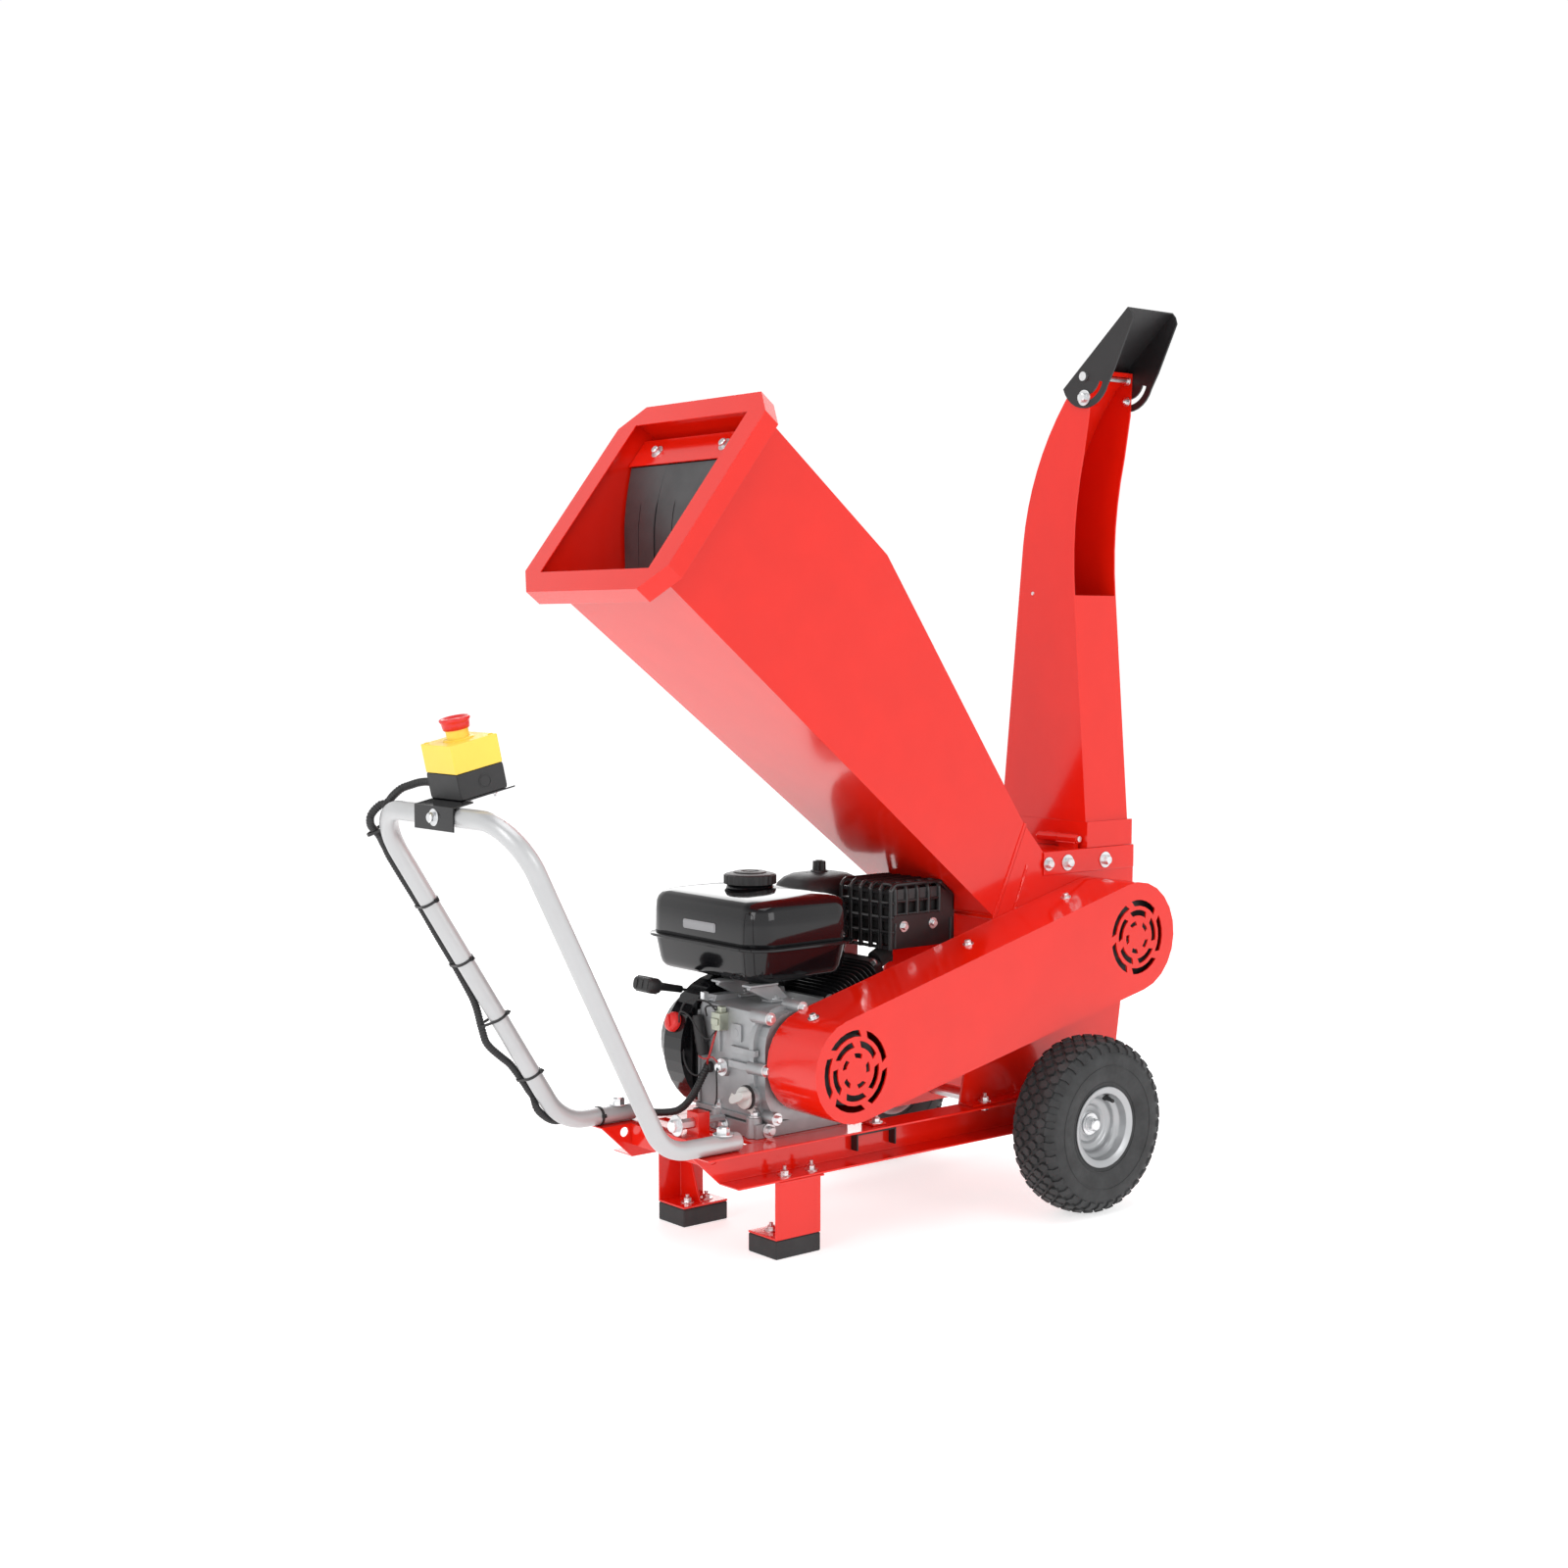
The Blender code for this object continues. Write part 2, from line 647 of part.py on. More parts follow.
def conduit_route():
    """The conduit's points, from the stop box down the far leg of the handle to the engine."""
    return [
        (-0.907, STOP_WIDTH / 2 + GAP, 0.657), (-0.907, 0.050, 0.657), (-0.909, 0.070, 0.659),
        (-0.913, 0.090, 0.660), (-0.921, 0.110, 0.658), (-0.932, 0.129, 0.653), (-0.946, 0.146, 0.644),
        (-0.959, 0.160, 0.631), (CONDUIT_BACK, 0.1695, 0.614), (CONDUIT_BACK, 0.1755, 0.595), (-0.958, 0.1785, 0.575),
        (-0.947, 0.1785, 0.555), (-0.9335, 0.1765, 0.530), (-0.9125, 0.1725, 0.494), (-0.892, 0.1685, 0.459),
        (-0.872, 0.1645, 0.423), (-0.852, 0.160, 0.388), (-0.8325, 0.1575, 0.352), (-0.8145, 0.1560, 0.317),
        (-0.7955, 0.1535, 0.283), (-0.7745, 0.1490, 0.249), (-0.7545, 0.1440, 0.216), (-0.7400, 0.1410, 0.193),
        (-0.7220, 0.1400, 0.176), (-0.7000, 0.1395, 0.1685), (-0.6750, 0.1392, 0.1670), (-0.6500, 0.1390, 0.1670),
        (-0.6250, 0.1390, 0.1670), (-0.6000, 0.1390, 0.1670), (-0.5660, 0.1395, 0.1670), (-0.5540, 0.1350, 0.1670),
        (-0.5470, 0.1200, 0.1670), (-0.5420, 0.1000, 0.1675), (-0.5395, 0.0800, 0.1690), (-0.5365, 0.0610, 0.1740),
        (-0.5325, 0.0450, 0.1840), (-0.5280, 0.0330, 0.1990), (-0.5230, 0.0250, 0.2150), (-0.5170, 0.0210, 0.2300),
        (-0.5110, 0.0200, 0.2400), (CASE_X[0] - GAP, 0.0200, 0.2400),
    ]


def build_conduit():
    tube("estop_conduit", conduit_route(), CONDUIT_RADIUS, BLACK_PLASTIC, detail=2)


def build_guard():
    crank = (CRANK_X, CRANK_Z)
    rotor = (ROTOR_X, ROTOR_Z)
    back = -HOUSING_Y - GAP
    plate_face = back - RAIL_WALL
    skirt_back = plate_face - GAP
    outer = loop_round(crank, rotor, GUARD_SMALL_RADIUS, GUARD_LARGE_RADIUS)
    inner = loop_round(crank, rotor, GUARD_SMALL_RADIUS - SHEET, GUARD_LARGE_RADIUS - SHEET)
    guard = slab("belt_guard", [outer], FACE_SIDE, GUARD_FACE_Y, skirt_back, RED)
    hollow = slab("guard_hollow", [inner], FACE_SIDE, GUARD_FACE_Y + SHEET, skirt_back + 0.01)
    cut(guard, hollow)
    for centre, turn in ((crank, 114.0), (rotor, 147.0)):
        vents = slab("guard_vents", vent_outlines(centre, turn), FACE_SIDE, GUARD_FACE_Y - 0.01, GUARD_FACE_Y + 0.01)
        cut(guard, vents)
    plate = slab("guard_backplate", [outer], FACE_SIDE, plate_face, back, RED)
    hole = GUARD_LARGE_RADIUS - 0.034
    cut(
        plate,
        rod("backplate_rotor_cut", "y", (ROTOR_X, 0, ROTOR_Z), hole, plate_face - 0.01, back + 0.01, steps=24),
        rod("backplate_crank_cut", "y", (CRANK_X, 0, CRANK_Z), 0.030, plate_face - 0.01, back + 0.01, steps=20),
    )
    tab = block(
        "guard_tab", (-0.336, plate_face, RAIL_TOP + GAP), (-0.312, back, CRANK_Z - 0.020), RED
    )
    foot = block(
        "guard_tab_foot", (-0.336, plate_face - 0.022, RAIL_TOP + GAP), (-0.312, back, RAIL_TOP + GAP + RAIL_WALL), RED
    )
    join(plate, tab, foot)


def vent_outlines(centre, turn):
    """Three rings of five slots that lean like a swirl, each (inner, outer, half sweep, middle)."""
    outlines = []
    rings = ((0.047, VENT_RADIUS, 29, 0), (0.0325, 0.041, 26, 13), (0.018, 0.0245, 17, -32))
    lean = 6
    for inner, outer, half, offset in rings:
        for index in range(5):
            middle = turn + offset + 72 * index
            slot = arc(centre, outer, middle - half, middle + half, 5)
            slot += arc(centre, inner, middle + half - lean, middle - half - lean, 4)
            outlines.append(slot)
    return outlines


def build_belts():
    crank = (CRANK_X, CRANK_Z)
    rotor = (ROTOR_X, ROTOR_Z)
    small = CLUTCH_GROOVE_RADIUS + GAP
    large = ROTOR_GROOVE_RADIUS + GAP
    for word, middle in zip("ab", BELT_Y):
        low = middle - BELT_WIDTH / 2
        high = middle + BELT_WIDTH / 2
        outer = loop_round(crank, rotor, small + BELT_DEPTH, large + BELT_DEPTH, 16)
        belt = slab(f"v_belt_{word}", [outer], FACE_SIDE, low, high, RUBBER)
        inner = loop_round(crank, rotor, small, large, 16)
        cut(belt, slab("belt_cut", [inner], FACE_SIDE, low - 0.01, high + 0.01))


def pulley_profile(bore, groove):
    """Two grooves for the belts, as (radius, y)."""
    flange = groove + BELT_DEPTH - 0.001
    half = BELT_WIDTH / 2 + GAP
    edges = [BELT_Y[0] - half - 0.003]
    for middle in BELT_Y:
        edges += [middle - half, middle + half]
    edges.append(BELT_Y[1] + half + 0.003)
    low_groove = groove * math.cos(math.pi / 32) - GAP
    outline = [(bore, edges[0]), (flange, edges[0])]
    for start, end in zip(edges[1::2], edges[2::2]):
        outline += [(flange, start), (low_groove, start), (low_groove, end), (flange, end)]
    outline += [(flange, edges[-1]), (bore, edges[-1])]
    return outline


def build_rotor():
    axis = anchor("rotor_axis", (ROTOR_X, 0.0, ROTOR_Z), ROOT)
    inside = HOUSING_Y - PLATE - 0.002
    near_end = BELT_Y[0] - 0.012
    far_end = HOUSING_Y + 0.030
    bore = SHAFT_RADIUS + GAP
    profile = [
        (0.0, far_end), (SHAFT_RADIUS, far_end), (SHAFT_RADIUS, inside), (DRUM_RADIUS, inside),
        (DRUM_RADIUS, -inside), (SHAFT_RADIUS, -inside), (SHAFT_RADIUS, near_end), (0.0, near_end),
    ]
    drum = turned("rotor_drum", profile, "y", (0, 0, 0), 32, STEEL, axis)
    thick = 0.008
    knife_half = inside - 0.006
    seat_low = DRUM_RADIUS - 0.022
    for word, side in (("a", 1), ("b", -1)):
        low_x, high_x = sorted((side * seat_low, side * KNIFE_RADIUS))
        cut_x = sorted((side * (seat_low - GAP), side * (KNIFE_RADIUS + 0.01)))
        slot = block(
            "knife_slot", (cut_x[0], -knife_half - GAP, -thick / 2 - GAP), (cut_x[1], knife_half + GAP, thick / 2 + GAP),
            STEEL, axis,
        )
        cut(drum, slot)
        block(
            f"knife_{word}", (low_x, -knife_half, -thick / 2), (high_x, knife_half, thick / 2), STEEL, axis
        )
    turned(
        "rotor_pulley", pulley_profile(bore, ROTOR_GROOVE_RADIUS), "y", (0, 0, 0), 32, STEEL, axis, closed=True
    )


def build_bearings():
    bore = SHAFT_RADIUS + GAP
    seat = HOUSING_Y + GAP
    outer = GUARD_LARGE_RADIUS - 0.036

    def bearing(word, side):
        profile = [
            (bore, seat), (outer, seat), (outer, seat + 0.007), (0.028, seat + 0.010), (0.028, seat + 0.020),
            (bore, seat + 0.020),
        ]
        profile = [(radius, side * height) for radius, height in profile]
        turned(f"bearing_{word}", profile, "y", (ROTOR_X, 0, ROTOR_Z), 24, STEEL, ROOT, closed=True)

    side_pair(bearing)


def slope_point(s, v):
    """(x, z) at a distance s down the hopper from its mouth and v across it."""
    x = HOPPER_X + s * math.cos(HOPPER_SLOPE) + v * math.sin(HOPPER_SLOPE)
    z = HOPPER_Z - s * math.sin(HOPPER_SLOPE) + v * math.cos(HOPPER_SLOPE)
    return (x, z)


def housing_outline(inset):
    """The side view of the rotor housing with its neck, drawn in by a wall."""
    low = slope_point(HOPPER_FLOOR_END + HOPPER_SEAM, HOPPER_FLOOR)
    top = slope_point(HOPPER_ROOF_END + HOPPER_SEAM, HOPPER_END_TOP)
    bend = 0.0265
    outline = [
        (low[0], low[1] + inset), (top[0], top[1] - inset * 1.2), (bend, HOUSING_TOP - inset),
        (ROTOR_X + HOUSING_RADIUS - inset, HOUSING_TOP - inset),
    ]
    outline += arc((ROTOR_X, ROTOR_Z), HOUSING_RADIUS - inset, 0, -140, 12)
    return outline


def build_housing():
    width = HOUSING_Y
    inner = width - PLATE
    shell = slab("rotor_housing", [housing_outline(0.0)], FACE_SIDE, -width, width, RED)
    low = slope_point(HOPPER_FLOOR_END + HOPPER_SEAM, HOPPER_FLOOR)
    foot_z = RAIL_TOP + GAP
    skirt = [
        (-0.143, foot_z), (0.186, foot_z), (0.212, 0.33), (0.15, 0.40), (low[0] + 0.01, low[1] + 0.005),
        (-0.115, 0.30),
    ]

    def wing(word, side):
        plate = slab("housing_wing", [skirt], FACE_SIDE, *span(side, inner, width), RED)
        foot = block(
            "housing_foot", (-0.143, span(side, inner, width + 0.028)[0], foot_z),
            (0.186, span(side, inner, width + 0.028)[1], foot_z + RAIL_WALL), RED,
        )
        join(shell, plate, foot)

    side_pair(wing)
    cavity = slab("housing_cavity", [housing_outline(PLATE)], FACE_SIDE, -inner, inner)
    mouth_low = slope_point(HOPPER_FLOOR_END + HOPPER_SEAM, HOPPER_FLOOR)
    mouth_top = slope_point(HOPPER_ROOF_END + HOPPER_SEAM, HOPPER_END_TOP)
    inlet = [
        (mouth_low[0] - 0.02, mouth_low[1] + PLATE * 1.5), (mouth_top[0] - 0.02, mouth_top[1] - PLATE * 2.2),
        (mouth_top[0] + 0.02, mouth_top[1] - PLATE * 2.2 - 0.02), (mouth_low[0] + 0.03, mouth_low[1] + PLATE * 1.5),
    ]
    entry = slab("housing_inlet", [inlet], FACE_SIDE, -inner, inner)
    outlet = block(
        "housing_outlet", (CHUTE_X[0] + SHEET, CHUTE_FRONT_Y + PLATE, HOUSING_TOP - 0.02),
        (CHUTE_X[1] - SHEET, CHUTE_BACK_Y - PLATE, HOUSING_TOP + 0.02),
    )
    bore = rod("housing_bore", "y", (ROTOR_X, 0, ROTOR_Z), SHAFT_RADIUS + 0.001, -width - 0.05, width + 0.05)
    cut(shell, cavity, entry, outlet, bore)
    knuckle_y = (-0.094, -0.0535)
    knuckle = rod("housing_knuckle", "y", (HINGE_X, 0, HINGE_Z), KNUCKLE_RADIUS, *knuckle_y, RED, ROOT, 16)
    tab = block(
        "housing_knuckle_tab", (HINGE_X - 0.005, knuckle_y[0] + 0.004, HOUSING_TOP - 0.001),
        (HINGE_X + 0.004, knuckle_y[1] - 0.004, HINGE_Z - 0.002), RED,
    )
    join(shell, knuckle, tab)
    cut(shell, rod("knuckle_bore", "y", (HINGE_X, 0, HINGE_Z), PIN_RADIUS + GAP, -0.12, 0.0, steps=12))
    strap_low = HOUSING_TOP - 0.035
    block(
        "housing_strap", (0.026, -width - GAP - RAIL_WALL, strap_low), (ROTOR_X + HOUSING_RADIUS - 0.002, -width - GAP, HOUSING_TOP),
        RED,
    )


def hopper_half_width(s):
    return HOPPER_HALF_IN + (HOPPER_HALF_OUT - HOPPER_HALF_IN) * s / HOPPER_FLOOR_END


def build_hopper():
    start = SHEET + GAP
    stations = (
        (start, start), (HOPPER_KINK, HOPPER_KINK), (HOPPER_FLOOR_END, HOPPER_ROOF_END),
    )
    roofs = (HOPPER_ROOF, HOPPER_ROOF, HOPPER_END_TOP)
    work = bmesh.new()
    rings = []
    for (floor_s, roof_s), roof in zip(stations, roofs):
        low = slope_point(floor_s, HOPPER_FLOOR)
        high = slope_point(roof_s, roof)
        half_low = hopper_half_width(floor_s)
        half_high = hopper_half_width(roof_s)
        corners = (
            (low[0], -half_low, low[1]), (low[0], half_low, low[1]),
            (high[0], half_high, high[1]), (high[0], -half_high, high[1]),
        )
        rings.append([work.verts.new(corner) for corner in corners])
    for first, second in zip(rings, rings[1:]):
        for index in range(4):
            after = (index + 1) % 4
            work.faces.new((first[index], second[index], second[after], first[after]))
    bmesh.ops.recalc_face_normals(work, faces=work.faces)
    mesh = bpy.data.meshes.new("hopper")
    work.to_mesh(mesh)
    work.free()
    hopper = mesh_object("hopper", mesh, RED, ROOT)
    shell = hopper.modifiers.new("wall", "SOLIDIFY")
    shell.thickness = SHEET
    shell.offset = -1.0
    shell.use_even_offset = True
    low = slope_point(HOPPER_FLOOR_END, HOPPER_FLOOR)
    high = slope_point(HOPPER_ROOF_END, HOPPER_END_TOP)
    lean = Vector((high[0] - low[0], high[1] - low[1])).normalized()
    inward = Vector((-lean[1], lean[0])) * HOPPER_FLANGE
    grow = Vector(lean) * 0.004
    flange = [
        (low[0] - grow[0], low[1] - grow[1]), (high[0] + grow[0], high[1] + grow[1]),
        (high[0] + grow[0] + inward[0], high[1] + grow[1] + inward[1]),
        (low[0] - grow[0] + inward[0], low[1] - grow[1] + inward[1]),
    ]
    lip = HOUSING_Y
    collar = slab("hopper_flange", [flange], FACE_SIDE, -lip, lip, RED)
    bore = [
        (low[0] + lean[0] * 0.006 - 0.02, low[1] + lean[1] * 0.006 + 0.01),
        (low[0] + lean[0] * 0.006 + 0.02, low[1] + lean[1] * 0.006 - 0.01),
        (high[0] - lean[0] * 0.010 + 0.02, high[1] - lean[1] * 0.010 - 0.01),
        (high[0] - lean[0] * 0.010 - 0.02, high[1] - lean[1] * 0.010 + 0.01),
    ]
    throat = slab("hopper_throat", [bore], FACE_SIDE, -HOPPER_HALF_OUT + PLATE, HOPPER_HALF_OUT - PLATE)
    cut(join(hopper, collar), throat)
    build_mouth()


def build_mouth():
    frame = anchor("mouth_frame", (HOPPER_X, 0.0, HOPPER_Z), ROOT, HOPPER_SLOPE)
    half = RIM_HALF
    chamfer = RIM_CHAMFER

    def octagon(reach):
        flat = reach - chamfer
        return [
            (reach, -flat), (reach, flat), (flat, reach), (-flat, reach), (-reach, flat), (-reach, -flat),
            (-flat, -reach), (flat, -reach),
        ]

    rim = slab("hopper_rim", [octagon(half)], FACE_END, 0.0, RIM_DEPTH, RED, frame)
    back = slab("rim_back_cut", [octagon(half - SHEET)], FACE_END, SHEET, RIM_DEPTH + 0.01, STEEL, frame)
    mouth = block(
        "mouth_cut", (-0.02, -MOUTH_HALF_Y, -MOUTH_HALF_V), (0.02, MOUTH_HALF_Y, MOUTH_HALF_V), STEEL, frame
    )
    cut(rim, back, mouth)
    clamp_half = hopper_half_width(CLAMP_DEPTH) - SHEET - GAP - 0.001
    roof = HOPPER_ROOF - SHEET - GAP
    wall = RAIL_WALL
    reach = CLAMP_DEPTH + 0.022
    angle = [
        (CLAMP_DEPTH, CLAMP_LOW), (CLAMP_DEPTH + wall, CLAMP_LOW), (CLAMP_DEPTH + wall, CLAMP_HIGH - wall),
        (reach, CLAMP_HIGH - wall), (reach, roof), (reach - wall, roof), (reach - wall, CLAMP_HIGH),
        (CLAMP_DEPTH, CLAMP_HIGH),
    ]
    slab("flap_clamp", [angle], FACE_SIDE, -clamp_half, clamp_half, RED, frame)
    build_flap()


def build_flap():
    edge = slope_point(CLAMP_DEPTH + RAIL_WALL, CLAMP_LOW)
    hinge = anchor("flap_hinge", (edge[0] + FLAP_THICKNESS + GAP, 0.0, edge[1] - GAP), ROOT)
    half = hopper_half_width(CLAMP_DEPTH) - SHEET - 0.003
    low_half = hopper_half_width(CLAMP_DEPTH + FLAP_LENGTH) - SHEET - 0.004
    slit = 0.0012
    outline = [(-half, 0.0), (-low_half, -FLAP_LENGTH)]
    step = 2 * low_half / FLAP_STRIPS
    for index in range(1, FLAP_STRIPS):
        across = -low_half + step * index
        outline += [
            (across - slit / 2, -FLAP_LENGTH), (across - slit / 2, -0.030), (across + slit / 2, -0.030),
            (across + slit / 2, -FLAP_LENGTH),
        ]
    outline += [(low_half, -FLAP_LENGTH), (half, 0.0)]
    slab("rubber_flap", [outline], FACE_END, -FLAP_THICKNESS, 0.0, RUBBER, hinge)


def chute_back(inset):
    """The chute's back edge, from its foot to its lip: straight, then an arc towards -Y."""
    radius = 0.430
    centre = (-0.3875, CHUTE_TOP - 0.3046)
    return [(CHUTE_BACK_Y - inset, HOUSING_TOP + GAP)] + arc(centre, radius - inset, 6.1, 45.0, 10)


def chute_front(inset):
    """The chute's front edge, from its lip down to its foot."""
    start = (-0.0685, CHUTE_FRONT_TOP)
    radius = 0.635
    heading = 84.6
    centre = (
        start[0] - radius * math.sin(math.radians(heading)),
        start[1] + radius * math.cos(math.radians(heading)),
    )
    bend = arc(centre, radius, heading - 90, heading - 71, 6)
    edge = [(-0.097, CHUTE_TOP), (-0.0945, CHUTE_TOP - 0.064)] + bend[::-1] + [(CHUTE_FRONT_Y, HOUSING_TOP + GAP)]
    return [(y + inset, z) for y, z in edge]


def build_chute():
    hinge = anchor("chute_hinge", (HINGE_X, 0.0, HINGE_Z), ROOT)

    def local(points):
        return [(y, z - HINGE_Z) for y, z in points]

    x0 = CHUTE_X[0] - HINGE_X
    x1 = CHUTE_X[1] - HINGE_X
    outline = chute_back(0.0) + chute_front(0.0)
    chute = slab("chute", [local(outline)], FACE_END, x0, x1, RED, hinge)
    inner_back = chute_back(SHEET)
    inner_back[0] = (CHUTE_BACK_Y - SHEET, HOUSING_TOP - 0.02)
    front = chute_front(SHEET)
    closed_part = [point for point in front if point[1] <= CHUTE_FRONT_TOP + 0.001]
    closed_part[-1] = (CHUTE_FRONT_Y + SHEET, HOUSING_TOP - 0.02)
    tip = inner_back[-1]
    open_part = [(tip[0] - 0.004, tip[1] - 0.004), (-0.25, tip[1] - 0.004), (-0.25, CHUTE_FRONT_TOP)]
    channel = slab(
        "chute_channel", [local(inner_back[:-1] + open_part + closed_part)], FACE_END, x0 + SHEET, x1 - SHEET,
        STEEL, hinge,
    )
    wall = COLLAR_WALL
    low = HOUSING_TOP + GAP - HINGE_Z
    collar = block(
        "chute_collar", (x0 - wall, CHUTE_FRONT_Y - wall, low), (x1 + wall, CHUTE_BACK_Y + wall, COLLAR_TOP - HINGE_Z),
        RED, hinge,
    )
    knuckle_y = (-0.0530, -0.012)
    knuckle = rod("chute_knuckle", "y", (0, 0, 0), KNUCKLE_RADIUS, *knuckle_y, RED, hinge, 16)
    tab = block(
        "chute_knuckle_tab", (-0.002, knuckle_y[0] + 0.004, 0.002), (x0 - wall + 0.001, knuckle_y[1] - 0.004, 0.0065),
        RED, hinge,
    )
    join(chute, collar, knuckle, tab)
    bolt_bore = 0.004 + GAP
    cut(
        chute,
        channel,
        rod("chute_pin_bore", "y", (0, 0, 0), PIN_RADIUS + GAP, -0.08, 0.02, STEEL, hinge, 12),
        rod(
            "chute_pivot_bore", "x", (0, PIVOT_Y, PIVOT_Z - HINGE_Z), bolt_bore, x0 - 0.02, x1 + 0.02,
            STEEL, hinge, 12,
        ),
    )
    head = [
        (0.0, -0.0965), (PIN_RADIUS + 0.0015, -0.0965), (PIN_RADIUS + 0.0015, -0.0945), (PIN_RADIUS, -0.0945),
        (PIN_RADIUS, -0.008), (0.0, -0.008),
    ]
    turned("hinge_pin", head, "y", (HINGE_X, 0, HINGE_Z), 12, STEEL)
    build_deflector(hinge)


def build_deflector(hinge):
    pivot = anchor("deflector_pivot_axis", (0.0, PIVOT_Y, PIVOT_Z - HINGE_Z), hinge)
    x0 = CHUTE_X[0] - HINGE_X - GAP
    x1 = CHUTE_X[1] - HINGE_X + GAP
    sheet = DEFLECTOR_SHEET
    tip = (-0.083, 0.094)
    outline = [
        tip, (-0.0895, 0.0865), (-0.0925, 0.0765), (-0.0575, 0.0060),
    ]
    outline += arc((0.0, 0.0), DEFLECTOR_RADIUS, 200, 341, 12)
    slot_half = 0.0042
    slot = arc((0, 0), SLOT_RADIUS + slot_half, -90, -163, 8)
    slot += arc((0, 0), SLOT_RADIUS - slot_half, -163, -90, 8)
    heel = outline[-1]
    along = Vector((tip[0] - heel[0], tip[1] - heel[1])).normalized()
    inward = Vector((-along[1], along[0])) * sheet
    back = [
        (heel[0] + along[0] * 0.012, heel[1] + along[1] * 0.012), tip, (tip[0] + inward[0], tip[1] + inward[1]),
        (heel[0] + along[0] * 0.012 + inward[0], heel[1] + along[1] * 0.012 + inward[1]),
    ]
    bore = 0.004 + GAP
    roof = slab("deflector", [back], FACE_END, x0 - sheet, x1 + sheet, BLACK_STEEL, pivot)
    for low, high in ((x0 - sheet, x0), (x1, x1 + sheet)):
        join(roof, slab("deflector_cheek", [outline], FACE_END, low, high, BLACK_STEEL, pivot))
    cut(
        roof,
        slab("deflector_slot", [slot], FACE_END, x0 - 0.02, x1 + 0.02, STEEL, pivot),
        rod("deflector_bore", "x", (0, 0, 0), bore, x0 - 0.02, x1 + 0.02, STEEL, pivot, 12),
    )
    out = sheet + GAP
    head = 0.0070
    profile = [
        (0.0, x1 + out + DEFLECTOR_BOLT_HEAD), (head, x1 + out + DEFLECTOR_BOLT_HEAD), (head, x1 + out), (0.004, x1 + out), (0.004, x0 - out),
        (head, x0 - out), (head, x0 - out - 0.0055), (0.0, x0 - out - 0.0055),
    ]
    turned("deflector_bolt", profile, "x", (0, PIVOT_Y, PIVOT_Z - HINGE_Z), 12, STEEL, hinge)


def build_engine_block():
    case = block("crankcase", (CASE_X[0], CASE_Y[0], FOOT_TOP - 0.002), (CASE_X[1], CASE_Y[1], CASE_TOP), CAST)
    soften(case, 0.012, 2)
    feet = block(
        "crankcase_feet", (CASE_X[0] - 0.007, CASE_Y[0] - 0.012, RAIL_TOP + GAP), (CASE_X[1] + 0.010, CASE_Y[1], FOOT_TOP),
        CAST,
    )
    join(case, feet)
    tunnel = CRANK_RADIUS + 2 * GAP
    bore = rod("crank_tunnel", "y", (CRANK_X, 0, CRANK_Z), tunnel, CASE_Y[0] - 0.05, CASE_Y[1] + 0.05)
    filler = filler_place()
    spout_radius = 0.014
    spout_end = 0.030
    spout = rod("filler_spout", "x", filler, spout_radius, -0.010, spout_end, CAST, ROOT, 16)
    join(case, spout)
    cut(case, bore, rod("filler_bore", "x", filler, 0.009, -0.02, 0.012, STEEL, ROOT, 12))
    cover = slab(
        "crankcase_cover",
        [corner_rounded((CASE_X[0] + 0.002, RAIL_TOP + 0.022), (CASE_X[1] + 0.006, CASE_TOP - 0.004), 0.045, 5)],
        FACE_SIDE, COVER_FACE_Y + 0.008, CASE_Y[0] - GAP, CAST,
    )
    boss = ring("cover_boss", "y", (CRANK_X, 0, CRANK_Z), tunnel, 0.050, COVER_FACE_Y, COVER_FACE_Y + 0.012, CAST)
    join(cover, boss)
    notch = rod(
        "cover_spout_cut", "x", filler, spout_radius + GAP, -0.02, spout_end + GAP, STEEL, ROOT, 16
    )
    cut(cover, rod("cover_bore", "y", (CRANK_X, 0, CRANK_Z), tunnel, -0.2, 0.0), notch)
    build_cylinder()


def filler_place():
    return (CASE_X[0] - 0.004, CASE_Y[0] + 0.003, 0.214)


def build_cylinder():
    tilt = anchor("cylinder_frame", (CRANK_X, 0.0, CRANK_Z), ROOT, -CYLINDER_TILT)
    start = CYLINDER_START
    pitch = FIN_PITCH
    web_half = 0.044
    fin_half = 0.056
    fin_top = 0.030
    fins = FIN_COUNT
    face = start + fins * pitch
    across = (-0.052, 0.050)
    outline = [(start, -web_half)]
    for index in range(fins):
        s = start + index * pitch + 0.003
        outline += [(s, -web_half), (s, -fin_half), (s + 0.004, -fin_half), (s + 0.004, -web_half)]
    outline += [(face, -web_half), (face, fin_top - 0.004)]
    for index in reversed(range(fins)):
        s = start + index * pitch + 0.003
        outline += [(s + 0.004, fin_top - 0.004), (s + 0.004, fin_top), (s, fin_top), (s, fin_top - 0.004)]
    outline.append((start, fin_top - 0.004))
    slab("cylinder", [outline], FACE_SIDE, across[0], across[1], BLACK_STEEL, tilt)
    head = block("cylinder_head", (face + GAP, -0.052, -0.054), (HEAD_END, 0.050, 0.054), CAST, tilt)
    soften(head, 0.006, 2)
    seat = block("cylinder_seat", (0.060, -0.040, -0.040), (start - GAP, 0.040, 0.026), CAST, tilt)
    join(bpy.data.objects["crankcase"], seat)


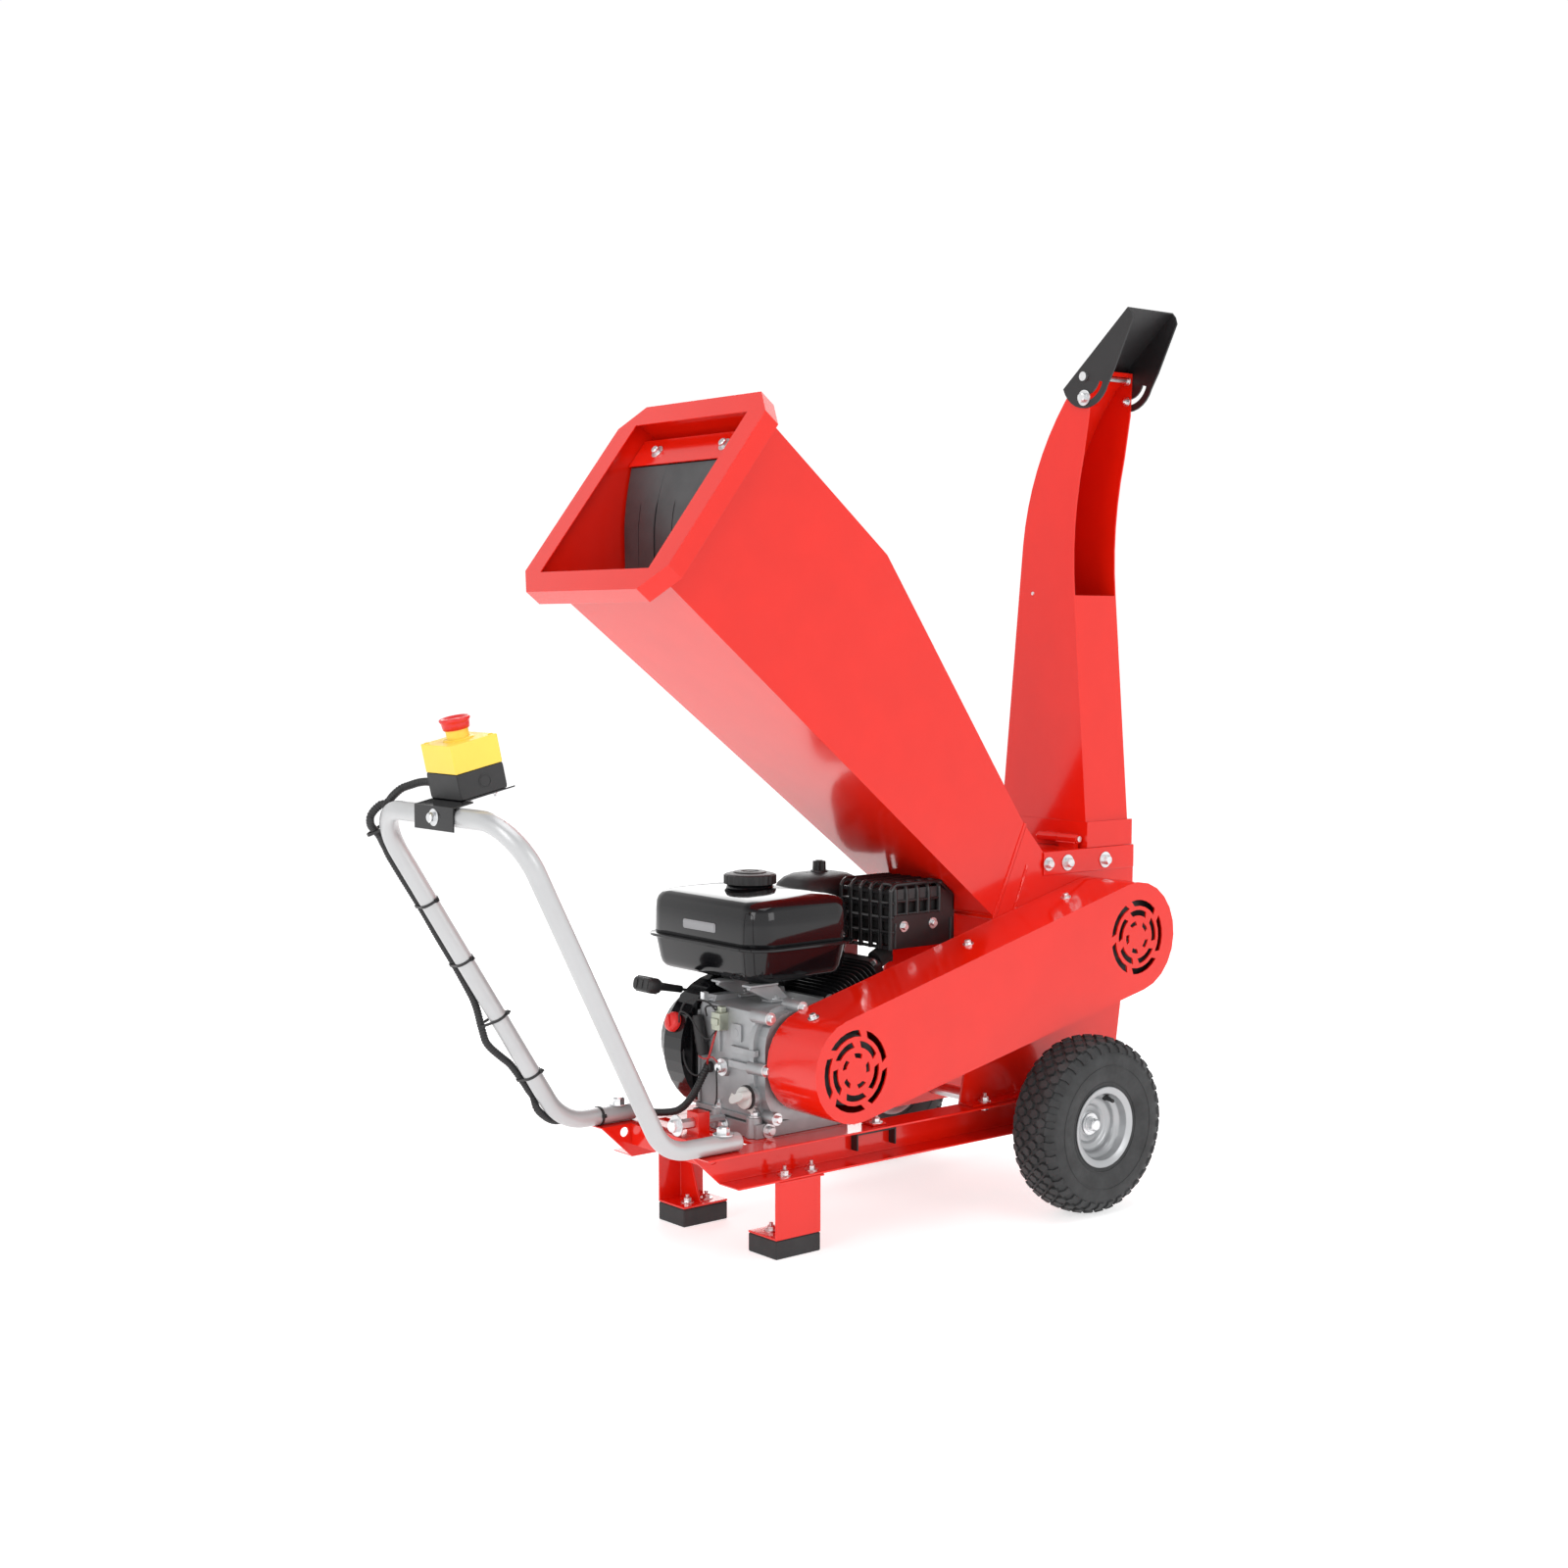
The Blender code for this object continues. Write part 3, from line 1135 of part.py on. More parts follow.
def build_crank():
    axis = anchor("crank_axis", (CRANK_X, 0.0, CRANK_Z), ROOT)
    rod("crankshaft", "y", (0, 0, 0), CRANK_RADIUS, BELT_Y[0] - 0.010, FAN_Y[1] - 0.006, STEEL, axis, 20)
    bore = CRANK_RADIUS + GAP
    turned(
        "clutch_pulley", pulley_profile(bore, CLUTCH_GROOVE_RADIUS), "y", (0, 0, 0), 32, STEEL, axis, closed=True
    )
    ring("flywheel", "y", (0, 0, 0), bore, FAN_RADIUS - 0.015, FAN_Y[0] + 0.012, FAN_Y[1] - 0.010, CAST, axis, 32)


def build_starter():
    wall = SHEET
    fan = [
        (0.020, FAN_Y[0]), (FAN_RADIUS, FAN_Y[0]), (FAN_RADIUS, FAN_Y[1] - 0.006), (FAN_RADIUS - 0.005, FAN_Y[1]),
        (STARTER_RADIUS - 0.010, FAN_Y[1]), (STARTER_RADIUS - 0.010, FAN_Y[1] - wall),
        (FAN_RADIUS - 0.006, FAN_Y[1] - wall), (FAN_RADIUS - wall, FAN_Y[1] - 0.007),
        (FAN_RADIUS - wall, FAN_Y[0] + wall), (0.020, FAN_Y[0] + wall),
    ]
    turned("fan_cover", fan, "y", (CRANK_X, 0, CRANK_Z), 36, BLACK_GLOSS, ROOT, closed=True)
    low = FAN_Y[1] + GAP
    dome = [
        (0.0, STARTER_Y), (0.052, STARTER_Y), (0.066, STARTER_Y - 0.006), (STARTER_RADIUS - 0.004, low + 0.006),
        (STARTER_RADIUS, low), (STARTER_RADIUS - wall, low), (STARTER_RADIUS - 0.004 - wall, low + 0.005),
        (0.064, STARTER_Y - 0.009), (0.051, STARTER_Y - wall), (0.0, STARTER_Y - wall),
    ]
    cover = turned("starter_cover", dome, "y", (CRANK_X, 0, CRANK_Z), 36, BLACK_GLOSS)
    pull = anchor("starter_pull_axis", (CRANK_X, 0.5 * (low + STARTER_Y), CRANK_Z), ROOT, -PULL_RISE)
    rope = 0.002
    hole = rod("rope_hole", "x", (0, 0, PULL_OFFSET), rope + 0.001, 0.0, 0.110, STEEL, pull, 12)
    cut(cover, hole)
    start = 0.082
    bar = (start + 0.032, start + 0.050)
    neck = [
        (0.0, bar[0] + 0.002), (0.007, bar[0] + 0.002), (0.0055, start), (rope, start), (rope, -0.005), (0.0, -0.005),
    ]
    grip = turned("starter_grip", neck, "x", (0, 0, PULL_OFFSET), 12, BLACK_PLASTIC, pull)
    low_corner = (bar[0], -0.023, PULL_OFFSET - 0.008)
    high_corner = (bar[1], 0.023, PULL_OFFSET + 0.008)
    bar_block = soften(block("starter_bar", low_corner, high_corner, BLACK_PLASTIC, pull), 0.004, 2)
    join(grip, bar_block)


def build_tank():
    edge = 0.045

    def layer(name, inset, low, high, corner):
        outline = corner_rounded(
            (TANK_X[0] + inset, TANK_Y[0] + inset), (TANK_X[1] - inset, TANK_Y[1] - inset), corner, 5
        )
        return slab(name, [outline], FACE_PLAN, low, high, BLACK_GLOSS)

    flange = layer("fuel_tank", 0.0, TANK_SEAM - 0.002, TANK_SEAM + 0.002, edge)
    lower = soften(layer("tank_lower", 0.008, TANK_BOTTOM, TANK_SEAM, edge - 0.008), 0.014, 3)
    upper = soften(layer("tank_upper", 0.007, TANK_SEAM, TANK_TOP, edge - 0.007), 0.016, 3)
    centre = ((TANK_X[0] + TANK_X[1]) / 2, (TANK_Y[0] + TANK_Y[1]) / 2)
    neck = rod("tank_neck", "z", (*centre, 0.0), CAP_RADIUS - 0.012, TANK_TOP - 0.006, CAP_TOP - 0.006, STEEL)
    join(flange, lower, upper, neck)
    axis = anchor("fuel_cap_axis", (*centre, 0.0), ROOT)
    wall = CAP_RADIUS - 0.012 + GAP + 0.0007
    low = TANK_TOP + GAP
    cap = [
        (0.0, CAP_TOP), (CAP_RADIUS - 0.008, CAP_TOP), (CAP_RADIUS, CAP_TOP - 0.004), (CAP_RADIUS, low + 0.002),
        (CAP_RADIUS - 0.003, low), (wall, low), (wall, CAP_TOP - 0.0055), (0.0, CAP_TOP - 0.0055),
    ]
    turned("fuel_cap", cap, "z", (0, 0, 0), 28, BLACK_PLASTIC, axis)
    pad_y = (TANK_Y[0] + 0.030, TANK_Y[0] + 0.055)
    bracket = block(
        "tank_bracket", (TANK_X[0] + 0.040, pad_y[0], CASE_TOP + GAP), (TANK_X[0] + 0.075, pad_y[1] + 0.06, TANK_BOTTOM - GAP), CAST
    )
    soften(bracket, 0.003, 1)


def muffler_outline(inset):
    """The muffler guard's side view: its top slopes down under the hopper."""
    low, high = MUFFLER_Z
    return [
        (MUFFLER_X[0] + inset, low + inset), (MUFFLER_X[1] - inset, low + inset),
        (MUFFLER_X[1] - inset, high - MUFFLER_SHOULDER[1] - inset * 0.7),
        (MUFFLER_SHOULDER[0] - inset * 0.35, high - inset), (MUFFLER_X[0] + 0.010 + inset * 0.4, high - inset),
        (MUFFLER_X[0] + inset, high - 0.010 - inset * 0.4),
    ]


def build_muffler():
    wall = SHEET
    inset = 0.012
    low, high = MUFFLER_Z
    can = slab(
        "muffler", [muffler_outline(inset)], FACE_SIDE, MUFFLER_Y[0] + inset, MUFFLER_Y[1] - 0.004, BLACK_STEEL
    )
    pipe = rod("exhaust_pipe", "z", (-0.224, -0.030, 0.0), 0.012, 0.368, low + inset + 0.004, BLACK_STEEL, ROOT, 16)
    tilt = bpy.data.objects["cylinder_frame"]
    port = rod("exhaust_port", "x", (0.0, -0.030, 0.018), 0.014, HEAD_END + GAP, HEAD_END + 0.024, BLACK_STEEL, tilt, 16)
    join(can, pipe, port)
    guard = slab("muffler_guard", [muffler_outline(0.0)], FACE_SIDE, *MUFFLER_Y, BLACK_STEEL)
    inside = muffler_outline(wall)
    inside[0] = (inside[0][0], low - 0.01)
    inside[1] = (inside[1][0], low - 0.01)
    hollow = slab("muffler_guard_cut", [inside], FACE_SIDE, MUFFLER_Y[0] + wall, MUFFLER_Y[1] + 0.01)
    cut(guard, hollow)
    columns = 4
    pitch = (MUFFLER_SHOULDER[0] - MUFFLER_X[0] - 0.008) / columns
    for column in range(columns):
        x = MUFFLER_X[0] + 0.008 + pitch * (column + 0.5)
        window = block(
            "muffler_window", (x - pitch * 0.32, MUFFLER_Y[0] - 0.01, high - 0.042), (x + pitch * 0.32, MUFFLER_Y[0] + 0.01, high - 0.022)
        )
        cut(guard, window)
        slot = block(
            "muffler_slot", (x - pitch * 0.32, MUFFLER_Y[0] + 0.014, high - 0.01), (x + pitch * 0.32, MUFFLER_Y[1] - 0.012, high + 0.01)
        )
        cut(guard, slot)
    seat_y = MUFFLER_Y[0] + wall + GAP
    standoff = rod(
        "muffler_standoff", "y", (-0.178, 0.0, low + 0.040), 0.006, seat_y, MUFFLER_Y[0] + inset + 0.004, BLACK_STEEL, ROOT, 12
    )
    join(can, standoff)


def build_intake():
    x0, x1 = -0.290, -0.164
    y0, y1 = MUFFLER_Y[1] + 0.012, 0.168
    low, top = 0.418, 0.487
    body = block("air_filter", (x0, y0, low), (x1, y1, top), BLACK_PLASTIC)
    soften(body, 0.018, 3)
    knob = rod("filter_knob", "z", (-0.228, 0.112, 0.0), 0.009, top - 0.003, top + 0.017, BLACK_PLASTIC, ROOT, 12)
    join(body, knob)
    body_low = 0.345
    block("carburettor", (-0.262, 0.050 + GAP, body_low), (-0.205, 0.105, low - GAP), CAST)


def build_controls():
    place = filler_place()
    axis = anchor("oil_cap_axis", place, ROOT)
    cap = [
        (0.0, 0.006), (0.0083, 0.006), (0.0083, -0.0103), (0.0155, -0.0103), (0.0155, -0.016), (0.004, -0.018),
        (0.0, -0.018),
    ]
    knob = turned("oil_filler_cap", cap, "x", (0, 0, 0), 16, IVORY, axis)
    join(knob, block("oil_cap_wing", (-0.028, -0.0022, -0.017), (-0.0155, 0.0022, 0.017), IVORY, axis))
    switch = anchor("engine_switch_axis", (CRANK_X, 0.075, CRANK_Z), ROOT, SWITCH_RISE)
    face = FAN_RADIUS + GAP
    cap = [(0.0, -face - 0.010), (0.011, -face - 0.010), (0.0145, -face - 0.006), (0.0145, -face), (0.0, -face)]
    turned("engine_switch", cap, "x", (0, 0, 0), 16, STOP_RED, switch)
    lever = anchor("throttle_lever_axis", (-0.470, 0.030, CASE_TOP + GAP), ROOT)
    plate = block("throttle_lever", (-0.038, -0.004, 0.0), (0.007, 0.004, 0.0025), STEEL, lever)
    join(plate, block("throttle_grip", (-0.042, -0.004, 0.0), (-0.034, 0.004, 0.012), STEEL, lever))


def build():
    build_chassis()
    side_pair(build_leg)
    side_pair(build_wheel)
    build_axle()
    build_handle()
    build_stop()
    build_conduit()
    build_guard()
    build_belts()
    build_rotor()
    build_bearings()
    build_housing()
    build_hopper()
    build_chute()
    build_engine_block()
    build_crank()
    build_starter()
    build_tank()
    build_muffler()
    build_intake()
    build_controls()


build()
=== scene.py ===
"""The looks of the wood chipper: finishes, treads, fasteners and small fittings around the CAD frame."""

import json
import math

import bmesh
import bpy
from mathutils import Matrix, Vector
from mathutils.bvhtree import BVHTree


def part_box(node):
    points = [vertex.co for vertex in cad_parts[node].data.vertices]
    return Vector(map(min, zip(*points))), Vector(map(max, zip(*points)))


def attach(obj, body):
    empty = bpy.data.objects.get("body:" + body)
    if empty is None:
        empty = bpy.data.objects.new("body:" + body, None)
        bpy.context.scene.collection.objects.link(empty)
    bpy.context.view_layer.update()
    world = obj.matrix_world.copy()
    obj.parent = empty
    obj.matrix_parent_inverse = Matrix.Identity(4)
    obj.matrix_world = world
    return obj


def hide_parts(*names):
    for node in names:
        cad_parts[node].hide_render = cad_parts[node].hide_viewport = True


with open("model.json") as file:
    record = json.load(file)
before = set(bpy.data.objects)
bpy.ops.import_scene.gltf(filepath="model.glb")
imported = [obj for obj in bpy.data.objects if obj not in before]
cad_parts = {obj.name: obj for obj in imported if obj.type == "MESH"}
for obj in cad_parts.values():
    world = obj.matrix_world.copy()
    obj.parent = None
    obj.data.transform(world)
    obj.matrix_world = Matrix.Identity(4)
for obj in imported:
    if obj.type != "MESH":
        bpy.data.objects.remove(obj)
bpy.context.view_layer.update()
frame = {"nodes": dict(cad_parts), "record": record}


def middle_of(node):
    """The middle of a node's box."""
    low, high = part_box(node)
    return (low + high) / 2


AXLE = middle_of("axle")
NEAR = (0, -1, 0)
FAR = (0, 1, 0)
UP = (0, 0, 1)
DOWN = (0, 0, -1)
TO_CHUTE = (1, 0, 0)
TO_HANDLE = (-1, 0, 0)


def at(x, y, z):
    """A place measured along from the wheel axle, out from the middle plane and up from the floor."""
    return Vector((AXLE.x + x, y, z))


# ---------------------------------------------------------------------------------------------
# Finishes
# ---------------------------------------------------------------------------------------------


def finish(name, colour, roughness, metallic=0.0, coat=0.0, grain=0.0, grain_scale=900.0, wave=0.0, vary=0.0,
           vary_scale=14.0, spread=0.0, specular=0.5):
    """A surface with colour that varies, uneven gloss and a bumped grain."""
    material = bpy.data.materials.new(name)
    material.use_nodes = True
    nodes = material.node_tree.nodes
    links = material.node_tree.links
    shader = nodes["Principled BSDF"]
    shader.inputs["Metallic"].default_value = metallic
    shader.inputs["Coat Weight"].default_value = coat
    shader.inputs["Coat Roughness"].default_value = 0.06
    shader.inputs["Specular IOR Level"].default_value = specular
    place = nodes.new("ShaderNodeTexCoord")

    def noise(scale, detail):
        made = nodes.new("ShaderNodeTexNoise")
        made.inputs["Scale"].default_value = scale
        made.inputs["Detail"].default_value = detail
        links.new(place.outputs["Object"], made.inputs["Vector"])
        return made

    patches = noise(vary_scale, 4.0)
    ramp = nodes.new("ShaderNodeValToRGB")
    darker = [channel * (1.0 - vary) for channel in colour]
    lighter = [min(1.0, channel * (1.0 + vary) + vary * 0.01) for channel in colour]
    ramp.color_ramp.elements[0].position = 0.3
    ramp.color_ramp.elements[0].color = (*darker, 1.0)
    ramp.color_ramp.elements[1].position = 0.7
    ramp.color_ramp.elements[1].color = (*lighter, 1.0)
    links.new(patches.outputs["Fac"], ramp.inputs["Fac"])
    links.new(ramp.outputs["Color"], shader.inputs["Base Color"])
    gloss = nodes.new("ShaderNodeMapRange")
    gloss.inputs["To Min"].default_value = max(0.02, roughness - spread)
    gloss.inputs["To Max"].default_value = min(1.0, roughness + spread)
    links.new(noise(vary_scale * 5, 6.0).outputs["Fac"], gloss.inputs["Value"])
    links.new(gloss.outputs["Result"], shader.inputs["Roughness"])
    fine = nodes.new("ShaderNodeBump")
    fine.inputs["Strength"].default_value = min(1.0, grain)
    fine.inputs["Distance"].default_value = 0.0005
    links.new(noise(grain_scale, 2.0).outputs["Fac"], fine.inputs["Height"])
    slow = nodes.new("ShaderNodeBump")
    slow.inputs["Strength"].default_value = min(1.0, wave)
    slow.inputs["Distance"].default_value = 0.004
    links.new(noise(9.0, 1.0).outputs["Fac"], slow.inputs["Height"])
    links.new(slow.outputs["Normal"], fine.inputs["Normal"])
    links.new(fine.outputs["Normal"], shader.inputs["Normal"])
    return material


RED = finish(
    "red_coat", (0.72, 0.0105, 0.0025), 0.15, coat=0.30, grain=0.05, grain_scale=420, wave=0.04, vary=0.03,
    spread=0.04, specular=0.40,
)
SATIN_BLACK = finish("satin_black", (0.013, 0.013, 0.014), 0.42, grain=0.12, vary=0.15, spread=0.08)
GLOSS_BLACK = finish(
    "gloss_black", (0.005, 0.005, 0.006), 0.11, coat=0.25, grain=0.01, wave=0.05, vary=0.1, spread=0.03,
    specular=0.30,
)
MOULDED_BLACK = finish(
    "moulded_black", (0.014, 0.014, 0.015), 0.48, grain=0.35, grain_scale=1600, vary=0.12, spread=0.06,
)
RUBBER = finish("rubber", (0.020, 0.020, 0.021), 0.72, grain=0.4, grain_scale=700, vary=0.25, spread=0.1)
TYRE = finish(
    "tyre_rubber", (0.020, 0.021, 0.022), 0.62, grain=0.3, grain_scale=500, vary=0.35, vary_scale=30,
    spread=0.12,
)
CURTAIN = finish("curtain_rubber", (0.046, 0.047, 0.049), 0.40, grain=0.15, wave=0.4, vary=0.25, spread=0.12)
SILVER = finish(
    "silver_lacquer", (0.50, 0.505, 0.51), 0.36, metallic=0.35, coat=0.15, grain=0.06, grain_scale=1800,
    vary=0.03, spread=0.05,
)
RIM = finish(
    "rim_lacquer", (0.42, 0.43, 0.44), 0.34, metallic=0.6, coat=0.2, grain=0.08, vary=0.06, spread=0.08,
)
CAST = finish(
    "cast_aluminium", (0.40, 0.41, 0.42), 0.46, metallic=0.75, grain=0.55, grain_scale=950, vary=0.12,
    vary_scale=25, spread=0.12,
)
DARK_CAST = finish(
    "dark_cast", (0.035, 0.035, 0.037), 0.5, metallic=0.3, grain=0.5, grain_scale=900, vary=0.2, spread=0.1,
)
ZINC = finish(
    "zinc_plate", (0.76, 0.77, 0.78), 0.32, metallic=1.0, grain=0.08, grain_scale=1300, vary=0.12,
    vary_scale=60, spread=0.10,
)
YELLOW = finish(
    "yellow_moulding", (0.90, 0.64, 0.075), 0.40, grain=0.10, grain_scale=1500, vary=0.03, spread=0.05,
)
STOP_RED = finish("red_moulding", (0.66, 0.016, 0.014), 0.33, grain=0.05, vary=0.04, spread=0.05)
IVORY = finish("ivory_moulding", (0.58, 0.58, 0.56), 0.42, grain=0.08, vary=0.05, spread=0.06)
PALE_METAL = finish("pale_plated", (0.42, 0.44, 0.36), 0.32, metallic=0.8, grain=0.08, vary=0.12, spread=0.1)
RED_WIRE = finish("red_wire", (0.45, 0.02, 0.02), 0.4, grain=0.05, vary=0.08, spread=0.05)
PLATE_GREY = finish("plate_grey", (0.30, 0.30, 0.31), 0.35, metallic=0.5, grain=0.1, vary=0.1, spread=0.08)
HEAT_BLACK = finish("heat_black", (0.012, 0.012, 0.013), 0.30, grain=0.08, vary=0.12, spread=0.06)
# near-black and rough: the muffler's own black, and painted shade for the inside of the muffler guard
BLACK_AND_PAINTED_SHADE = finish("black_and_painted_shade", (0.01, 0.01, 0.01), 0.8, grain=0.2, vary=0.2, spread=0.05)

FINISHES = {
    "red_powder_coat": RED,
    "black_steel": SATIN_BLACK,
    "black_gloss": GLOSS_BLACK,
    "black_plastic": MOULDED_BLACK,
    "rubber": RUBBER,
    "tyre": TYRE,
    "silver_paint": SILVER,
    "cast_aluminium": CAST,
    "zinc_steel": ZINC,
    "yellow_plastic": YELLOW,
    "red_plastic": STOP_RED,
    "ivory_plastic": IVORY,
}
OTHER_FINISH = {
    "cylinder": DARK_CAST, "rubber_flap": CURTAIN, "estop_base": MOULDED_BLACK, "clutch_pulley": SATIN_BLACK,
    # the muffler takes the near-black that also serves as painted shade inside its guard
    "rotor_pulley": SATIN_BLACK, "flywheel": SATIN_BLACK, "estop_bracket": GLOSS_BLACK, "muffler": BLACK_AND_PAINTED_SHADE,
}
EDGE_WIDTH = {
    "hopper": 0.0016, "hopper_rim": 0.0018, "chute": 0.0014, "belt_guard": 0.0028, "rotor_housing": 0.0012,
    "rail_near": 0.0010, "rail_far": 0.0010, "leg_near": 0.0010, "leg_far": 0.0010, "flap_clamp": 0.0012,
    "housing_strap": 0.0010, "estop_base": 0.0016, "estop_cover": 0.0022, "deflector": 0.0006,
    "front_crossmember": 0.0014, "engine_plate": 0.0010, "guard_backplate": 0.0005, "foot_near": 0.001,
    "foot_far": 0.001, "rubber_flap": 0.0008, "estop_bracket": 0.0005, "cylinder_head": 0.002,
    "crankcase": 0.0015, "tank_bracket": 0.001,
}


SAME_POINT = 0.00001
STILL_FLAT = math.radians(0.4)


def dress_frame():
    """Gives every CAD node its finish and smooth shading on its round stretches, and those listed in
    EDGE_WIDTH a worn-off edge.
    """
    for row in frame["record"]["subparts"]:
        node = frame["nodes"][row["node"]]
        node.data.materials.clear()
        node.data.materials.append(OTHER_FINISH.get(node.name, FINISHES[row["material_slot"]]))
        if node.name in EDGE_WIDTH:
            weld = node.modifiers.new("weld", "WELD")
            weld.merge_threshold = SAME_POINT
            flats = node.modifiers.new("flats", "DECIMATE")
            flats.decimate_type = "DISSOLVE"
            flats.angle_limit = STILL_FLAT
            bevel = node.modifiers.new("edges", "BEVEL")
            bevel.width = EDGE_WIDTH[node.name]
            bevel.segments = 2
            bevel.limit_method = "ANGLE"
            bevel.angle_limit = math.radians(35)
            bevel.use_clamp_overlap = True
            level = node.modifiers.new("level", "WEIGHTED_NORMAL")
            level.weight = 90
            level.keep_sharp = True
        node.data.shade_smooth()
        node.data.set_sharp_from_angle(angle=math.radians(32))


# ---------------------------------------------------------------------------------------------
# Mesh tools
# ---------------------------------------------------------------------------------------------


def facing(direction, spin):
    """A rotation that turns +Z to a direction."""
    turn = Vector(direction).normalized().to_track_quat("Z", "Y").to_matrix().to_4x4()
    return turn @ Matrix.Rotation(spin, 4, "Z")


def place(where, direction, spin=0.0):
    """A frame at a place, with +Z along a direction."""
    return Matrix.Translation(where) @ facing(direction, spin)


def plane(origin, across, up):
    """A frame on a face: X along across, Y along up, Z standing out."""
    across = Vector(across).normalized()
    up = Vector(up).normalized()
    turn = Matrix((across, up, across.cross(up))).transposed().to_4x4()
    return Matrix.Translation(origin) @ turn


def add_turned(mesh, profile, steps, where, closed=False):
    """A profile of (radius, height) turned about Z. An open one is closed by flat ends."""
    if not closed:
        start = [(0, profile[0][1])] if profile[0][0] else []
        profile = [*start, *profile, (0, profile[-1][1])]
    rings = []
    for radius, height in profile:
        if radius < 1e-7:
            rings.append([mesh.verts.new(where @ Vector((0, 0, height)))])
            continue
        ring = []
        for step in range(steps):
            angle = 2 * math.pi * step / steps
            ring.append(
                mesh.verts.new(where @ Vector((radius * math.cos(angle), radius * math.sin(angle), height)))
            )
        rings.append(ring)
    pairs = list(zip(rings, rings[1:]))
    if closed:
        pairs.append((rings[-1], rings[0]))
    for first, second in pairs:
        for step in range(steps):
            after = (step + 1) % steps
            if len(first) == 1 and len(second) == 1:
                continue
            if len(first) == 1:
                mesh.faces.new((first[0], second[step], second[after]))
            elif len(second) == 1:
                mesh.faces.new((first[step], second[0], first[after]))
            else:
                mesh.faces.new((first[step], second[step], second[after], first[after]))


def add_prism(mesh, outline, low, high, where, taper=1.0):
    """A flat outline in X and Y, raised from one height to another and scaled on the way."""
    count = len(outline)
    middle = Vector((sum(x for x, _ in outline) / count, sum(y for _, y in outline) / count, 0))
    bottom = [mesh.verts.new(where @ Vector((x, y, low))) for x, y in outline]
    top = []
    for x, y in outline:
        spot = middle + (Vector((x, y, 0)) - middle) * taper
        top.append(mesh.verts.new(where @ Vector((spot.x, spot.y, high))))
    mesh.faces.new(bottom[::-1])
    mesh.faces.new(top)
    for index in range(count):
        after = (index + 1) % count
        mesh.faces.new((bottom[index], bottom[after], top[after], top[index]))


def add_box(mesh, low, high, where=Matrix.Identity(4), taper=1.0):
    """A prism on a rectangle, given by its two corners."""
    outline = [(low[0], low[1]), (high[0], low[1]), (high[0], high[1]), (low[0], high[1])]
    add_prism(mesh, outline, low[2], high[2], where, taper)


def add_tube(mesh, points, radius, sides):
    """A capped tube along points. radius is one number or one for each point."""
    points = [Vector(point) for point in points]
    radii = radius if isinstance(radius, list) else [radius] * len(points)
    tangent = (points[1] - points[0]).normalized()
    normal = tangent.orthogonal().normalized()
    rings = []
    for index, point in enumerate(points):
        before = points[max(0, index - 1)]
        after = points[min(len(points) - 1, index + 1)]
        tangent = (after - before).normalized()
        normal = (normal - tangent * normal.dot(tangent)).normalized()
        side = tangent.cross(normal)
        ring = []
        for step in range(sides):
            angle = 2 * math.pi * step / sides
            offset = (normal * math.cos(angle) + side * math.sin(angle)) * radii[index]
            ring.append(mesh.verts.new(point + offset))
        rings.append(ring)
    for first, second in zip(rings, rings[1:]):
        for step in range(sides):
            after = (step + 1) % sides
            mesh.faces.new((first[step], first[after], second[after], second[step]))
    mesh.faces.new(rings[0][::-1])
    mesh.faces.new(rings[-1])


def smooth_route(points, per_span):
    """A Catmull-Rom curve through the points."""
    points = [Vector(point) for point in points]
    ends = [2 * points[0] - points[1]] + points + [2 * points[-1] - points[-2]]
    route = []
    for a, b, c, d in zip(ends, ends[1:], ends[2:], ends[3:]):
        for step in range(per_span):
            t = step / per_span
            cubic = (3 * b - a - 3 * c + d) * t ** 3
            route.append(0.5 * (2 * b + (c - a) * t + (2 * a - 5 * b + 4 * c - d) * t * t + cubic))
    route.append(points[-1])
    return route


def even_route(points, spacing):
    """The same route with points this far apart."""
    out = [points[0]]
    rest = spacing
    for first, second in zip(points, points[1:]):
        length = (second - first).length
        while rest <= length:
            out.append(first.lerp(second, rest / length))
            rest += spacing
        rest -= length
    return out


def arc(centre, radius, start, end, count):
    """Points round a circle from one angle to another, in degrees."""
    points = []
    for step in range(count + 1):
        angle = math.radians(start + (end - start) * step / count)
        points.append((centre[0] + radius * math.cos(angle), centre[1] + radius * math.sin(angle)))
    return points


def rounded_rectangle(half_x, half_y, radius, count=5):
    """A rectangle about the origin with an arc at each corner."""
    outline = []
    for sign_x, sign_y, start in ((1, 1, 0), (-1, 1, 90), (-1, -1, 180), (1, -1, 270)):
        outline += arc(
            (sign_x * (half_x - radius), sign_y * (half_y - radius)), radius, start, start + 90, count,
        )
    return outline


def add_skin(mesh, rings):
    """Rings with the same number of points, joined in order and capped at both ends."""
    made = [[mesh.verts.new(point) for point in ring] for ring in rings]
    for first, second in zip(made, made[1:]):
        for index in range(len(first)):
            after = (index + 1) % len(first)
            mesh.faces.new((first[index], first[after], second[after], second[index]))
    mesh.faces.new(made[0][::-1])
    mesh.faces.new(made[-1])


def add_layers(mesh, middle, half_x, half_y, levels):
    """Rounded rectangles stacked up: each level is (height, inset, corner radius)."""
    rings = []
    for height, inset, corner in levels:
        outline = rounded_rectangle(half_x - inset, half_y - inset, corner, 7)
        rings.append([Vector((middle[0] + x, middle[1] + y, height)) for x, y in outline])
    add_skin(mesh, rings)


